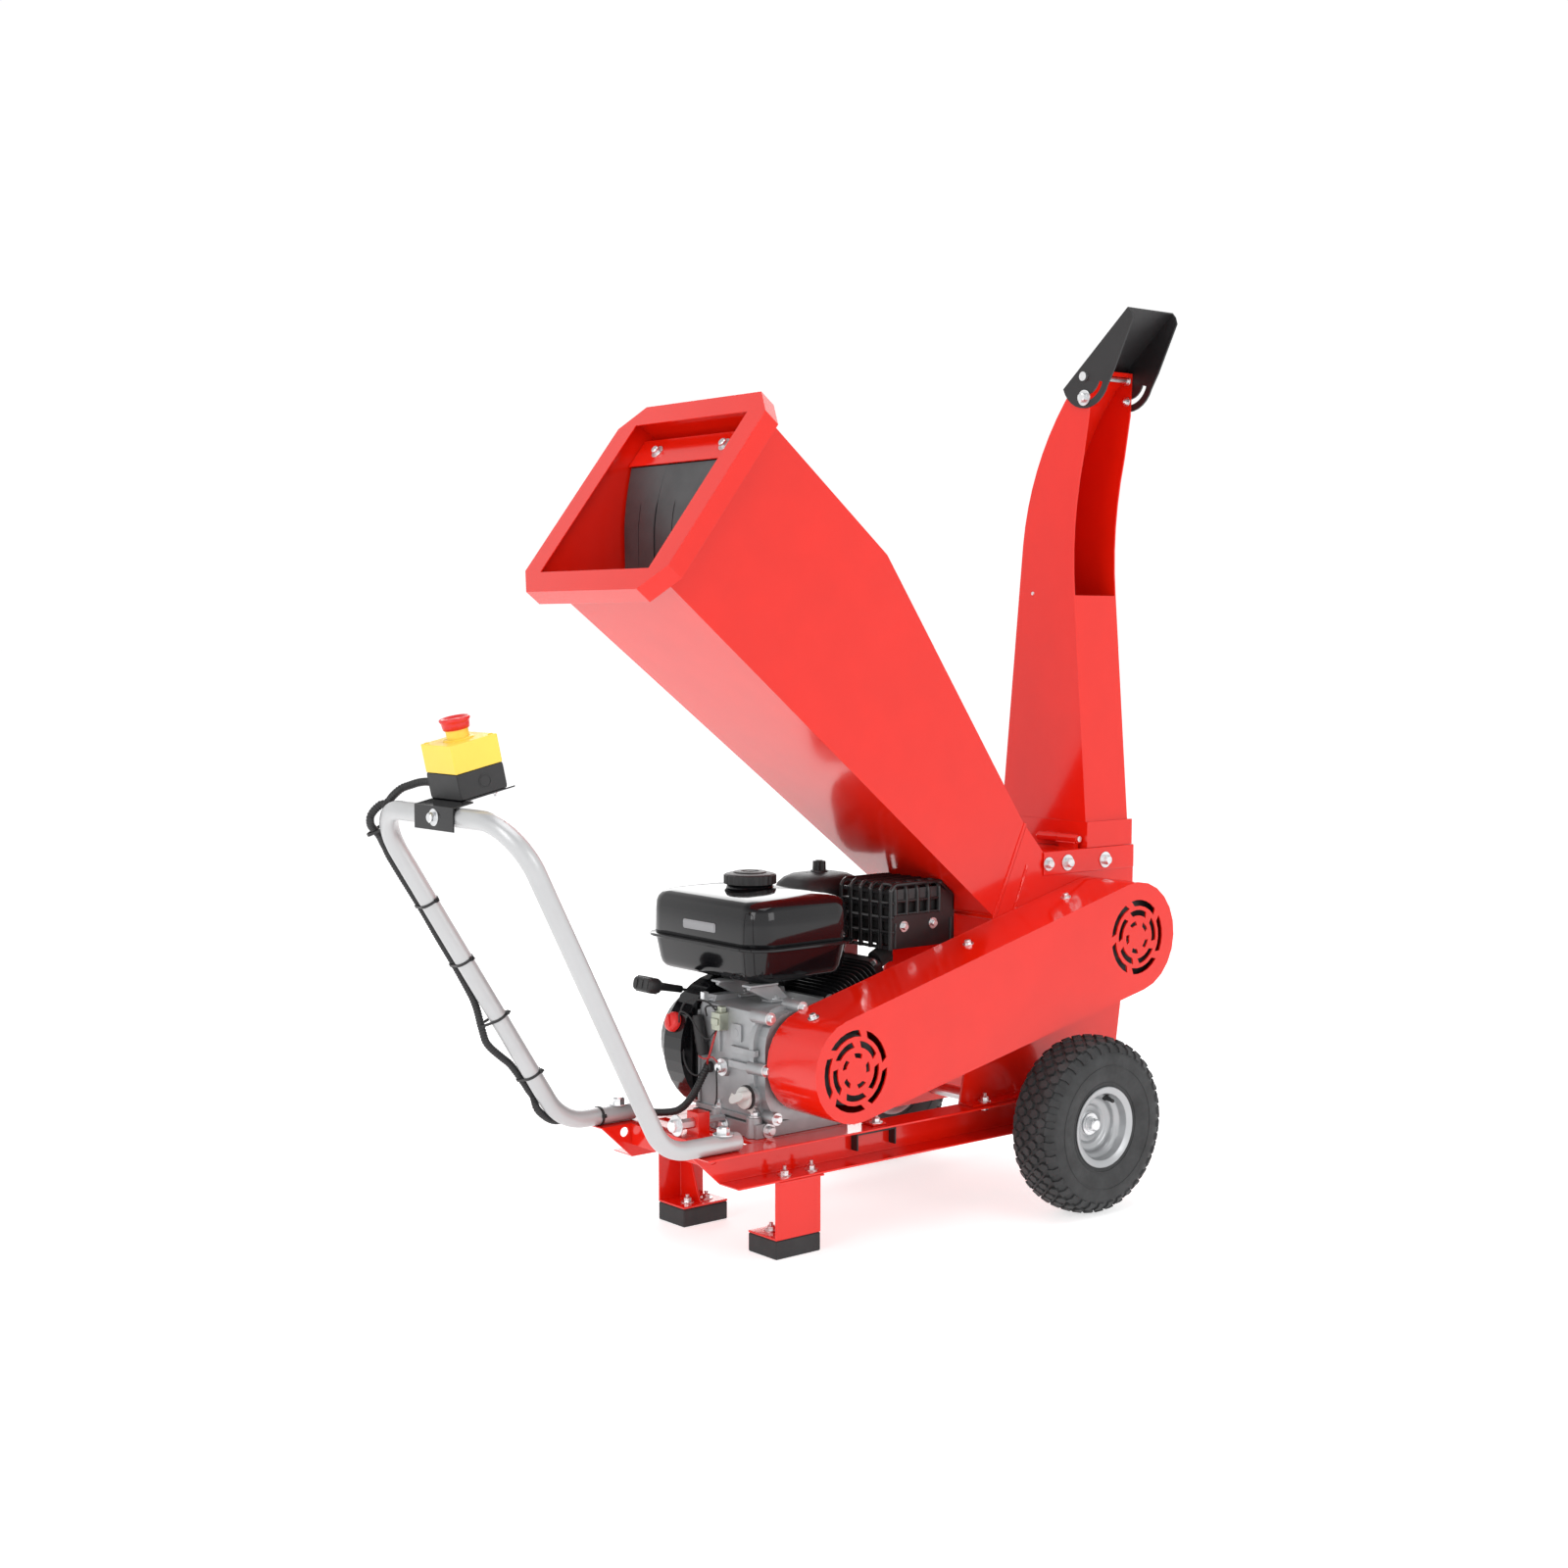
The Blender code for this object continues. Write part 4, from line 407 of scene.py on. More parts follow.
def add_grid(mesh, us, vs, holes, low, high, where):
    """A plate cut into cells by the lines us and vs, with some cells left open."""
    spots = {}

    def spot(cell, level):
        key = (*cell, level)
        if key not in spots:
            spots[key] = mesh.verts.new(where @ Vector((us[cell[0]], vs[cell[1]], level)))
        return spots[key]

    cells = [(i, j) for i in range(len(us) - 1) for j in range(len(vs) - 1)]
    solid = [cell for cell in cells if cell not in holes]
    for i, j in solid:
        ring = ((i, j), (i + 1, j), (i + 1, j + 1), (i, j + 1))
        mesh.faces.new([spot(corner, high) for corner in ring])
        mesh.faces.new([spot(corner, low) for corner in ring[::-1]])
        for index, step in enumerate(((0, -1), (1, 0), (0, 1), (-1, 0))):
            a, b = ring[index], ring[(index + 1) % 4]
            if (i + step[0], j + step[1]) not in solid:
                mesh.faces.new((spot(a, low), spot(b, low), spot(b, high), spot(a, high)))


def spaced(start, end, count, gap):
    """Lines for a grid of open cells with bars of this width between and around them."""
    cell = (end - start - gap * (count + 1)) / count
    lines = []
    for index in range(count + 1):
        edge = start + index * (cell + gap)
        lines += [edge, edge + gap]
    return lines


def windows(columns, rows):
    """The open cells of a grid whose lines are spaced."""
    return [(2 * i + 1, 2 * j + 1) for i in range(columns) for j in range(rows)]


def add_sheet(mesh, grid, thickness):
    """Rows of points joined into a sheet, with a second skin behind it and closed edges."""
    front = [[mesh.verts.new(point) for point in line] for line in grid]
    back = [[mesh.verts.new(point + thickness) for point in line] for line in grid]
    rows = len(grid) - 1
    across = len(grid[0]) - 1
    for row in range(rows):
        for step in range(across):
            mesh.faces.new((
                front[row][step], front[row][step + 1], front[row + 1][step + 1], front[row + 1][step],
            ))
            mesh.faces.new((
                back[row][step + 1], back[row][step], back[row + 1][step], back[row + 1][step + 1],
            ))
        mesh.faces.new((front[row][0], front[row + 1][0], back[row + 1][0], back[row][0]))
        mesh.faces.new((front[row + 1][-1], front[row][-1], back[row][-1], back[row + 1][-1]))
    for step in range(across):
        mesh.faces.new((front[0][step + 1], front[0][step], back[0][step], back[0][step + 1]))
        mesh.faces.new((front[rows][step], front[rows][step + 1], back[rows][step + 1], back[rows][step]))


def piece(name, mesh, material, body, node=None, bevel=0.0, angle=35):
    """Makes the mesh an object that moves with a body, and stands for a CAD node where one is named."""
    bmesh.ops.recalc_face_normals(mesh, faces=mesh.faces)
    data = bpy.data.meshes.new(name)
    mesh.to_mesh(data)
    mesh.free()
    made = bpy.data.objects.new(name, data)
    bpy.context.scene.collection.objects.link(made)
    data.materials.append(material)
    data.shade_smooth()
    data.set_sharp_from_angle(angle=math.radians(angle))
    if bevel:
        edges = made.modifiers.new("edges", "BEVEL")
        edges.width = bevel
        edges.segments = 2
        edges.limit_method = "ANGLE"
        edges.angle_limit = math.radians(angle)
        edges.harden_normals = True
    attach(made, body)
    if node:
        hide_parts(*([node] if isinstance(node, str) else node))


HEX = [(math.cos(math.radians(60 * k)), math.sin(math.radians(60 * k))) for k in range(6)]


def add_bolt(mesh, where, direction, across, washer, stem, spin):
    """A hexagon head with a chamfer, standing out from a face, with or without a washer and bare thread."""
    spot = place(where, direction, spin)
    base = 0.0
    if washer:
        wide = across * 0.95
        add_turned(mesh, [(wide - 0.0003, 0.0014), (wide, 0.0011), (wide, 0.0)], 24, spot)
        base = 0.0012
    corner = across / math.cos(math.radians(30)) / 2
    height = across * 0.62
    outline = [(x * corner, y * corner) for x, y in HEX]
    add_prism(mesh, outline, base, base + height * 0.82, spot)
    inner = across * 0.47
    chamfer = [(inner * 0.92, height), (inner, height * 0.94), (corner * 0.955, height * 0.80)]
    add_turned(mesh, [(radius, base + z) for radius, z in chamfer], 24, spot)
    if stem:
        radius = across * 0.29
        top = base + height + stem
        pitch = 0.0012
        profile = [(radius - pitch / 2, top), (radius, top - pitch / 2)]
        for turn in range(int(stem / pitch)):
            z = top - 0.0008 - turn * pitch
            profile += [(radius, z), (radius - 0.0005, z - pitch / 2)]
        profile.append((radius, base + height * 0.9))
        add_turned(mesh, profile, 14, spot)


def bolts(name, body, rows):
    """Several bolts as one piece: each row is place, direction, size and the length of bare thread."""
    mesh = bmesh.new()
    for index, (where, direction, across, stem) in enumerate(rows):
        add_bolt(mesh, where, direction, across, True, stem, 0.35 + 0.61 * index)
    piece(name, mesh, ZINC, body, angle=32)


# ---------------------------------------------------------------------------------------------
# Wheels
# ---------------------------------------------------------------------------------------------

TYRE_LOW, TYRE_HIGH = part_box("tyre_near")
TYRE_RADIUS = (TYRE_HIGH.z - TYRE_LOW.z) / 2
TYRE_HALF = (TYRE_HIGH.y - TYRE_LOW.y) / 2
TREAD_DEPTH = 0.0042
BLOCKS_ROUND = 36
BLOCK_PITCH = 2 * math.pi / BLOCKS_ROUND
ROW_STEP = 0.0118


def tyre_section():
    """The carcass as (radius, height) from the middle of the tread to the bead."""
    base = TYRE_RADIUS - TREAD_DEPTH
    knots = [
        (base, 0.0), (base - 0.0008, 0.012), (base - 0.0035, 0.024), (base - 0.0090, 0.0330),
        (0.1075, 0.0385), (0.0960, TYRE_HALF - 0.0011), (0.0840, TYRE_HALF - 0.0014), (0.0720, 0.0375),
        (0.0620, 0.0335), (0.0560, 0.0322), (0.0512, 0.0318),
    ]
    return [(point.x, point.y) for point in smooth_route([(r, h, 0) for r, h in knots], 5)]


SECTION = tyre_section()


def tread_spot(reach):
    """Where the carcass is at this arc length from the middle of the tread, and its normal."""
    side = 1 if reach >= 0 else -1
    left = abs(reach)
    for (r0, h0), (r1, h1) in zip(SECTION, SECTION[1:]):
        length = math.hypot(r1 - r0, h1 - h0)
        if left <= length:
            share = left / length
            normal = ((h1 - h0) / length, -(r1 - r0) / length)
            return (r0 + (r1 - r0) * share, side * (h0 + (h1 - h0) * share)), (normal[0], side * normal[1])
        left -= length
    raise ValueError(reach)


def add_block(mesh, centre, outline, depth, where, taper=0.82):
    """A tread block: an outline in (round, across) metres, laid on the carcass."""
    turn, across = centre
    buried = -0.0015
    sides = []
    for height, scale in ((buried, 1.0), (depth, taper)):
        ring = []
        for u, v in outline:
            (radius, offset), normal = tread_spot(across + v * scale)
            angle = turn + u * scale / TYRE_RADIUS
            r = radius + height * normal[0]
            h = offset + height * normal[1]
            r = min(r, TYRE_RADIUS - 0.00005)
            ring.append(mesh.verts.new(where @ Vector((r * math.cos(angle), r * math.sin(angle), h))))
        sides.append(ring)
    low, high = sides
    mesh.faces.new(high)
    mesh.faces.new(low[::-1])
    count = len(outline)
    for index in range(count):
        after = (index + 1) % count
        mesh.faces.new((low[index], low[after], high[after], high[index]))


def wheel_frame(node, side):
    """A frame at a wheel's middle, with +Z out of the machine."""
    return Matrix.Translation(middle_of(node)) @ Matrix.Rotation(-side * math.pi / 2, 4, "X")


def build_tyre(word, side):
    """The carcass with two rings on each wall, then the tread: five rows of hexagons between two of lugs."""
    spot = wheel_frame(f"tyre_{word}", side)
    mesh = bmesh.new()
    inner = [
        (0.0515, 0.0240), (0.058, 0.0250), (0.075, 0.0335), (0.100, 0.0350), (0.116, 0.0280), (0.1205, 0.0),
    ]
    profile = SECTION + inner + [(r, -h) for r, h in inner[-2::-1]] + [(r, -h) for r, h in SECTION[:0:-1]]
    add_turned(mesh, profile, 108, spot, closed=True)
    for ring, proud in ((0.0655, 0.00072), (0.0905, 0.00064)):
        wall = [point for point in SECTION if point[1] > 0.03]
        h = min(wall, key=lambda point: abs(point[0] - ring))[1]
        for face in (1, -1):
            band = [
                (ring - 0.0012, face * (h - 0.001)), (ring - 0.0007, face * (h + proud)),
                (ring + 0.0007, face * (h + proud)), (ring + 0.0012, face * (h - 0.001)),
            ]
            add_turned(mesh, band, 108, spot, closed=True)
    piece(f"tyre_carcass_{word}", mesh, TYRE, f"wheel_{word}", node=f"tyre_{word}", angle=50)
    mesh = bmesh.new()
    hexagon = [
        (0.0083, 0.0), (0.0040, 0.0066), (-0.0040, 0.0066), (-0.0083, 0.0), (-0.0040, -0.0066),
        (0.0040, -0.0066),
    ]
    lug = [
        (0.0072, -0.0060), (0.0052, 0.0035), (0.0066, 0.0105), (-0.0066, 0.0105), (-0.0052, 0.0035),
        (-0.0072, -0.0060),
    ]
    for row in range(-2, 3):
        for index in range(BLOCKS_ROUND):
            turn = BLOCK_PITCH * (index + 0.5 * (row % 2))
            add_block(mesh, (turn, row * ROW_STEP), hexagon, TREAD_DEPTH, spot)
    for face in (1, -1):
        for index in range(BLOCKS_ROUND):
            turn = BLOCK_PITCH * (index + 0.5)
            shape = [(u, face * v) for u, v in lug]
            add_block(mesh, (turn, face * (3 * ROW_STEP - 0.001)), shape, 0.0026, spot, 0.86)
    piece(f"tyre_tread_{word}", mesh, TYRE, f"wheel_{word}", angle=25)


def build_rim(word, side):
    """The pressed rim round its hub, and the valve."""
    spot = wheel_frame(f"rim_{word}", side)
    low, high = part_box(f"rim_{word}")
    lip = (high.z - low.z) / 2
    half = (high.y - low.y) / 2
    outside = [
        (0.0104, 0.0040), (0.0172, 0.0040), (0.0186, 0.0030), (0.0200, 0.0022), (0.0260, 0.0022),
        (0.0285, 0.0046), (0.0300, 0.0058), (0.0345, 0.0060), (0.0378, 0.0072), (0.0396, 0.0100),
        (0.0402, 0.0140), (0.0425, 0.0168), (0.0462, 0.0184), (0.0477, 0.0205), (0.0482, 0.0290),
        (0.0492, 0.0318), (0.0520, half - 0.0022), (0.0560, half - 0.0006), (lip - 0.0012, half),
        (lip - 0.0002, half - 0.0008), (lip, half - 0.0020), (lip - 0.0012, half - 0.0028),
        (0.0540, half - 0.0026), (0.0510, 0.0320),
    ]
    back = [
        (0.0508, 0.0190), (0.0430, 0.0130), (0.0430, -0.0130), (0.0508, -0.0190), (0.0508, -0.0320),
        (0.0540, -half + 0.0026), (lip, -half + 0.0016), (lip - 0.0012, -half), (0.0520, -half + 0.0022),
        (0.0482, -0.0290), (0.0480, -0.0200), (0.0405, -0.0140), (0.0400, -0.0010), (0.0370, 0.0018),
        (0.0300, 0.0020), (0.0265, -0.0010), (0.0180, -0.0010), (0.0180, -0.0338), (0.0104, -0.0338),
    ]
    mesh = bmesh.new()
    add_turned(mesh, outside + back, 96, spot, closed=True)
    piece(
        f"rim_pressing_{word}", mesh, RIM, f"wheel_{word}", node=f"rim_{word}", angle=38,
    )
    mesh = bmesh.new()
    lean = Matrix.Rotation(math.radians(62), 4, "Z") @ Matrix.Translation((0.0435, 0, 0.0165))
    stem = spot @ lean @ Matrix.Rotation(math.radians(-12), 4, "Y")
    valve = [
        (0.0022, 0.0175), (0.0027, 0.0168), (0.0027, 0.0095), (0.0032, 0.0090), (0.0034, 0.0030),
        (0.0050, 0.0012), (0.0054, -0.0008),
    ]
    add_turned(mesh, valve, 20, stem)
    piece(f"valve_{word}", mesh, RUBBER, f"wheel_{word}", angle=40)


def build_wheel_ends():
    """The stacked washers and the bolt head on each end of the axle."""
    for word, side in (("near", -1), ("far", 1)):
        hub_face = AXLE.y + side * (abs(middle_of(f"rim_{word}").y) + 0.0043)
        where = Vector((AXLE.x, hub_face, AXLE.z))
        spot = place(where, (0, side, 0))
        mesh = bmesh.new()
        add_turned(mesh, [(0.0148, 0.0027), (0.0153, 0.0022), (0.0153, 0.0012), (0.0147, 0.0008)], 36, spot)
        add_turned(mesh, [(0.0112, 0.0044), (0.0116, 0.0040), (0.0116, 0.0028)], 32, spot)
        add_bolt(mesh, where + Vector((0, side * 0.0040, 0)), (0, side, 0), 0.0165, False, 0.0, 0.4)
        piece(f"hub_bolt_{word}", mesh, ZINC, "chassis", angle=32)


# ---------------------------------------------------------------------------------------------
# Engine
# ---------------------------------------------------------------------------------------------

CRANK = at(-0.4355, 0.0, 0.2605)
SIDE_VIEW = plane(at(0, 0, 0), TO_CHUTE, UP)


def slanted(degrees):
    """The directions along a slope in the middle plane, and square to it."""
    angle = math.radians(degrees)
    along = Vector((math.cos(angle), 0, math.sin(angle)))
    rise = Vector((-math.sin(angle), 0, math.cos(angle)))
    return along, rise


def footprint(node):
    """The middle and the half sizes of a node's box, seen from above."""
    low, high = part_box(node)
    return ((low.x + high.x) / 2, (low.y + high.y) / 2), ((high.x - low.x) / 2, (high.y - low.y) / 2)


def lobed(count, radius):
    """A closed outline from a radius that depends on the angle."""
    outline = []
    for index in range(count):
        angle = 2 * math.pi * index / count
        outline.append((radius(angle, index) * math.cos(angle), radius(angle, index) * math.sin(angle)))
    return outline


def build_tank():
    """The pressed shell, domed on top and rolled where its halves meet."""
    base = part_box("fuel_tank")[0].z
    middle, half = footprint("fuel_tank")
    under = [
        (0.0, 0.032, 0.020), (0.0006, 0.026, 0.026), (0.0032, 0.0195, 0.031), (0.0085, 0.0155, 0.033),
        (0.016, 0.0135, 0.034), (0.040, 0.0095, 0.036), (0.0462, 0.0085, 0.036),
    ]
    seam = [
        (0.0466, 0.0012, 0.043), (0.0474, 0.0, 0.044), (0.0502, 0.0, 0.044), (0.0510, 0.0012, 0.043),
        (0.0514, 0.0088, 0.036),
    ]
    dome = [
        (0.0530, 0.0080, 0.036), (0.088, 0.0092, 0.034), (0.0985, 0.0104, 0.033), (0.1045, 0.0126, 0.032),
        (0.1090, 0.0165, 0.030), (0.1124, 0.0225, 0.027), (0.1152, 0.032, 0.025), (0.1182, 0.050, 0.022),
        (0.1206, 0.072, 0.015), (0.1216, 0.090, 0.005),
    ]
    mesh = bmesh.new()
    add_layers(mesh, middle, *half, [(base + h, inset, corner) for h, inset, corner in under + seam + dome])
    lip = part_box("fuel_cap")[0].z - 0.0002
    neck = [(0.0325, lip), (0.0335, lip - 0.0008), (0.036, base + 0.117)]
    add_turned(mesh, neck, 48, Matrix.Translation((*middle, 0.0)))
    piece("tank_shell", mesh, GLOSS_BLACK, "chassis", node="fuel_tank", angle=42)


def build_tank_plate():
    """The blank badge on the tank's end."""
    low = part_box("fuel_tank")[0]
    middle, _ = footprint("fuel_tank")
    badge = plane((low.x + 0.0088, middle[1], low.z + 0.072), NEAR, UP)
    mesh = bmesh.new()
    add_prism(mesh, rounded_rectangle(0.0375, 0.0066, 0.0034), -0.001, 0.0012, badge)
    add_prism(mesh, rounded_rectangle(0.0352, 0.0046, 0.0022), 0.0010, 0.0017, badge)
    piece("tank_plate", mesh, PLATE_GREY, "chassis", bevel=0.0003)


def build_fuel_cap():
    """The cap's notched skirt, dished top and raised bar."""
    low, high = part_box("fuel_cap")
    top = high.z
    spot = Matrix.Translation((*footprint("fuel_tank")[0], 0.0))
    skirt = (high.x - low.x) / 2
    notch = 0.0012
    outline = lobed(96, lambda angle, index: skirt if index % 4 < 2 else skirt - notch)
    mesh = bmesh.new()
    add_prism(mesh, outline, low.z + 0.0015, top - 0.0050, spot)
    dish = [
        (0.0125, top - 0.0012), (0.0135, top - 0.0002), (0.0215, top - 0.0001), (0.0235, top - 0.0008),
        (0.0240, top - 0.0022), (0.0310, top - 0.0026), (0.0352, top - 0.0038), (0.0366, top - 0.0054),
    ]
    add_turned(mesh, dish, 64, spot)
    add_turned(mesh, [(0.0300, low.z + 0.0002), (0.0345, low.z + 0.0016)], 64, spot)
    add_box(mesh, (-0.0105, -0.0032, top - 0.0013), (0.0105, 0.0032, top - 0.0001), spot)
    piece(
        "fuel_cap_moulding", mesh, MOULDED_BLACK, "fuel_cap", node="fuel_cap", angle=30,
    )


def build_tank_feet():
    """Two cast brackets that lean from the crankcase to the tank."""
    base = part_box("fuel_tank")[0].z
    mesh = bmesh.new()
    for y, x0, x1, foot in ((-0.038, -0.485, -0.440, -0.430), (0.026, -0.489, -0.445, -0.434)):
        where = plane(at(0, y, 0), TO_CHUTE, UP)
        web = [
            (x0, base - 0.0008), (x1, base - 0.0008), (x1 + 0.004, base - 0.0035), (foot + 0.014, 0.3375),
            (foot + 0.014, 0.3330), (foot - 0.018, 0.3330), (foot - 0.022, 0.3360), (x0, base - 0.0075),
        ]
        add_prism(mesh, web, -0.0035, 0.0035, where)
        add_box(mesh, (x0 - 0.003, base - 0.0036, -0.010), (x1 + 0.002, base, 0.010), where)
        add_box(mesh, (foot - 0.022, 0.3322, -0.011), (foot + 0.020, 0.3362, 0.011), where)
    piece("tank_feet", mesh, CAST, "chassis", node="tank_bracket", bevel=0.0012)


GUARD_SHOULDER = 0.022
GUARD_SLOPE = 0.029


def build_muffler_guard():
    """A box of pressed lattice with a sloping shoulder, and ribs where its faces are rolled."""
    low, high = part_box("muffler_guard")
    flat_end = high.x - GUARD_SLOPE
    tall = high.z - low.z
    wide = flat_end - low.x
    deep = high.y - low.y
    near = plane((low.x, low.y, low.z), TO_CHUTE, UP)
    left = plane((low.x, high.y, low.z), NEAR, UP)
    top = plane((low.x + 0.008, low.y, high.z), TO_CHUTE, FAR)
    ramp = plane((flat_end, low.y, high.z - 0.0006), (GUARD_SLOPE, 0, -GUARD_SHOULDER), FAR)
    far = plane((high.x, low.y, low.z), FAR, UP)
    mesh = bmesh.new()
    upper = [0.002, tall - 0.043, tall - 0.0245, tall - 0.0075]
    add_grid(
        mesh, spaced(0.003, wide, 4, 0.0052), upper, [(2 * i + 1, 1) for i in range(4)], -0.0026, 0.0, near,
    )
    lower = [0.003, 0.034, 0.0385, 0.0545, 0.059, wide + GUARD_SLOPE]
    add_grid(mesh, lower, [0.002, 0.012, 0.031, tall - 0.0425], [(1, 1), (3, 1)], -0.0024, -0.0002, near)
    cheek = [
        (wide - 0.001, tall - 0.044), (wide + GUARD_SLOPE, tall - 0.044),
        (wide + GUARD_SLOPE, tall - GUARD_SHOULDER - 0.003), (wide - 0.001, tall - 0.0078),
    ]
    add_prism(mesh, cheek, -0.0024, 0.0, near)
    add_grid(
        mesh, spaced(0.0, deep, 5, 0.0048), spaced(0.001, tall - 0.010, 4, 0.0046), windows(5, 4), -0.0026,
        0.0, left,
    )
    across = spaced(0.002, deep - 0.001, 5, 0.0052)
    add_grid(mesh, spaced(0.0, wide - 0.008, 3, 0.0048), across, windows(3, 5), -0.0030, -0.0006, top)
    add_grid(mesh, spaced(0.0, 0.0362, 1, 0.0052), across, windows(1, 5), -0.0026, 0.0, ramp)
    add_grid(
        mesh, spaced(0.0, deep, 5, 0.0062), spaced(0.002, tall - GUARD_SHOULDER, 2, 0.0062), windows(5, 2),
        -0.0026, 0.0, far,
    )

    def rib(points, radius=0.0033):
        add_tube(mesh, smooth_route(points, 4), radius, 8)

    for index in range(6):
        y = high.y - 0.0028 - index * (deep - 0.0055) / 5
        rib([
            (low.x - 0.0004, y, low.z + 0.001), (low.x - 0.0004, y, high.z - 0.018),
            (low.x + 0.0012, y, high.z - 0.0075), (low.x + 0.0085, y, high.z - 0.0012),
            (low.x + 0.020, y, high.z - 0.0008), (flat_end - 0.003, y, high.z - 0.0008),
            (flat_end + 0.004, y, high.z - 0.0034), (high.x - 0.002, y, high.z - GUARD_SHOULDER - 0.0008),
        ])
    for index in range(5):
        x = low.x + 0.0056 + index * (wide - 0.0078) / 4
        rib([
            (x, low.y - 0.0004, high.z - 0.044), (x, low.y - 0.0004, high.z - 0.016),
            (x, low.y + 0.0014, high.z - 0.0065), (x, low.y + 0.0085, high.z - 0.0010),
            (x, low.y + 0.024, high.z - 0.0010),
        ])
    wire = 0.0021
    for height in (0.0265, 0.0480, 0.0690):
        z = low.z + height
        x = low.x - 0.0002
        rib(
            [
                (x, high.y - 0.003, z), (x, (low.y + high.y) / 2, z), (x, low.y + 0.0045, z),
                (low.x + 0.0035, low.y + 0.0002, z),
            ],
            wire,
        )
    for height in (tall - 0.0435, tall - 0.0245):
        rib([(x, low.y - 0.0004, low.z + height) for x in (low.x + 0.003, low.x + wide / 2, flat_end)], wire)
    for u in (0.006, wide + 0.022):
        rib([(low.x + u, low.y - 0.0003, low.z + v) for v in (0.004, 0.022, 0.040)], 0.0019)
    piece("muffler_lattice", mesh, HEAT_BLACK, "chassis", node="muffler_guard", angle=40)


def build_painted_shade_box():
    """A near-black box inside the guard, painted shade that shows through its openings, and the guard's two
    bolts.
    """
    low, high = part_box("muffler_guard")
    inset = 0.0062
    tall = high.z - low.z - inset
    wide = high.x - low.x - inset
    side = [
        (inset, inset), (wide, inset), (wide, tall - GUARD_SHOULDER),
        (wide - GUARD_SLOPE + inset - 0.003, tall - 0.002), (inset, tall - 0.002),
    ]
    mesh = bmesh.new()
    # a near-black box that fills the guard: painted shade seen through the lattice's openings
    add_prism(mesh, side, low.y - high.y + inset, -inset, plane((low.x, low.y, low.z), TO_CHUTE, UP))
    piece("painted_shade_box", mesh, BLACK_AND_PAINTED_SHADE, "chassis", bevel=0.003)
    bolts("muffler_bolts", "chassis", [
        (at(-0.2215, -0.0680, 0.4220), NEAR, 0.0085, 0.0), (at(-0.1640, -0.0680, 0.4225), NEAR, 0.0085, 0.0),
    ])


def build_air_filter():
    """The lid with its rolled edge, five short ribs on its end, and the lobed knob."""
    low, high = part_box("air_filter")
    top = high.z - 0.017
    tall = top - low.z
    levels = [
        (0.0, 0.006, 0.020), (0.002, 0.003, 0.024), (0.020, 0.0022, 0.026), (0.0215, 0.0, 0.028),
        (0.0255, 0.0, 0.028), (0.027, 0.0022, 0.026), (tall - 0.026, 0.0035, 0.028),
        (tall - 0.016, 0.006, 0.030), (tall - 0.008, 0.0125, 0.030), (tall - 0.003, 0.022, 0.026),
        (tall - 0.0006, 0.036, 0.018), (tall, 0.050, 0.008),
    ]
    middle, half = footprint("air_filter")
    mesh = bmesh.new()
    add_layers(mesh, middle, *half, [(low.z + h, inset, corner) for h, inset, corner in levels])
    for index in range(5):
        where = plane((low.x + 0.0025, low.y + 0.024 + index * 0.016, low.z + 0.038), NEAR, UP)
        add_prism(mesh, rounded_rectangle(0.0012, 0.0022, 0.0010, 3), 0.0, 0.004, where)
    spot = Matrix.Translation(at(-0.228, 0.112, 0.0))
    lobes = lobed(48, lambda angle, index: 0.0090 + 0.0012 * math.cos(8 * angle))
    add_turned(mesh, [(0, top + 0.003), (0.0125, top + 0.002), (0.0135, top - 0.001)], 32, spot)
    add_prism(mesh, lobes, top, high.z - 0.0012, spot, 0.94)
    add_turned(mesh, [(0.0052, high.z), (0.0066, high.z - 0.0014)], 24, spot)
    piece("air_filter_lid", mesh, MOULDED_BLACK, "chassis", node="air_filter", angle=40)


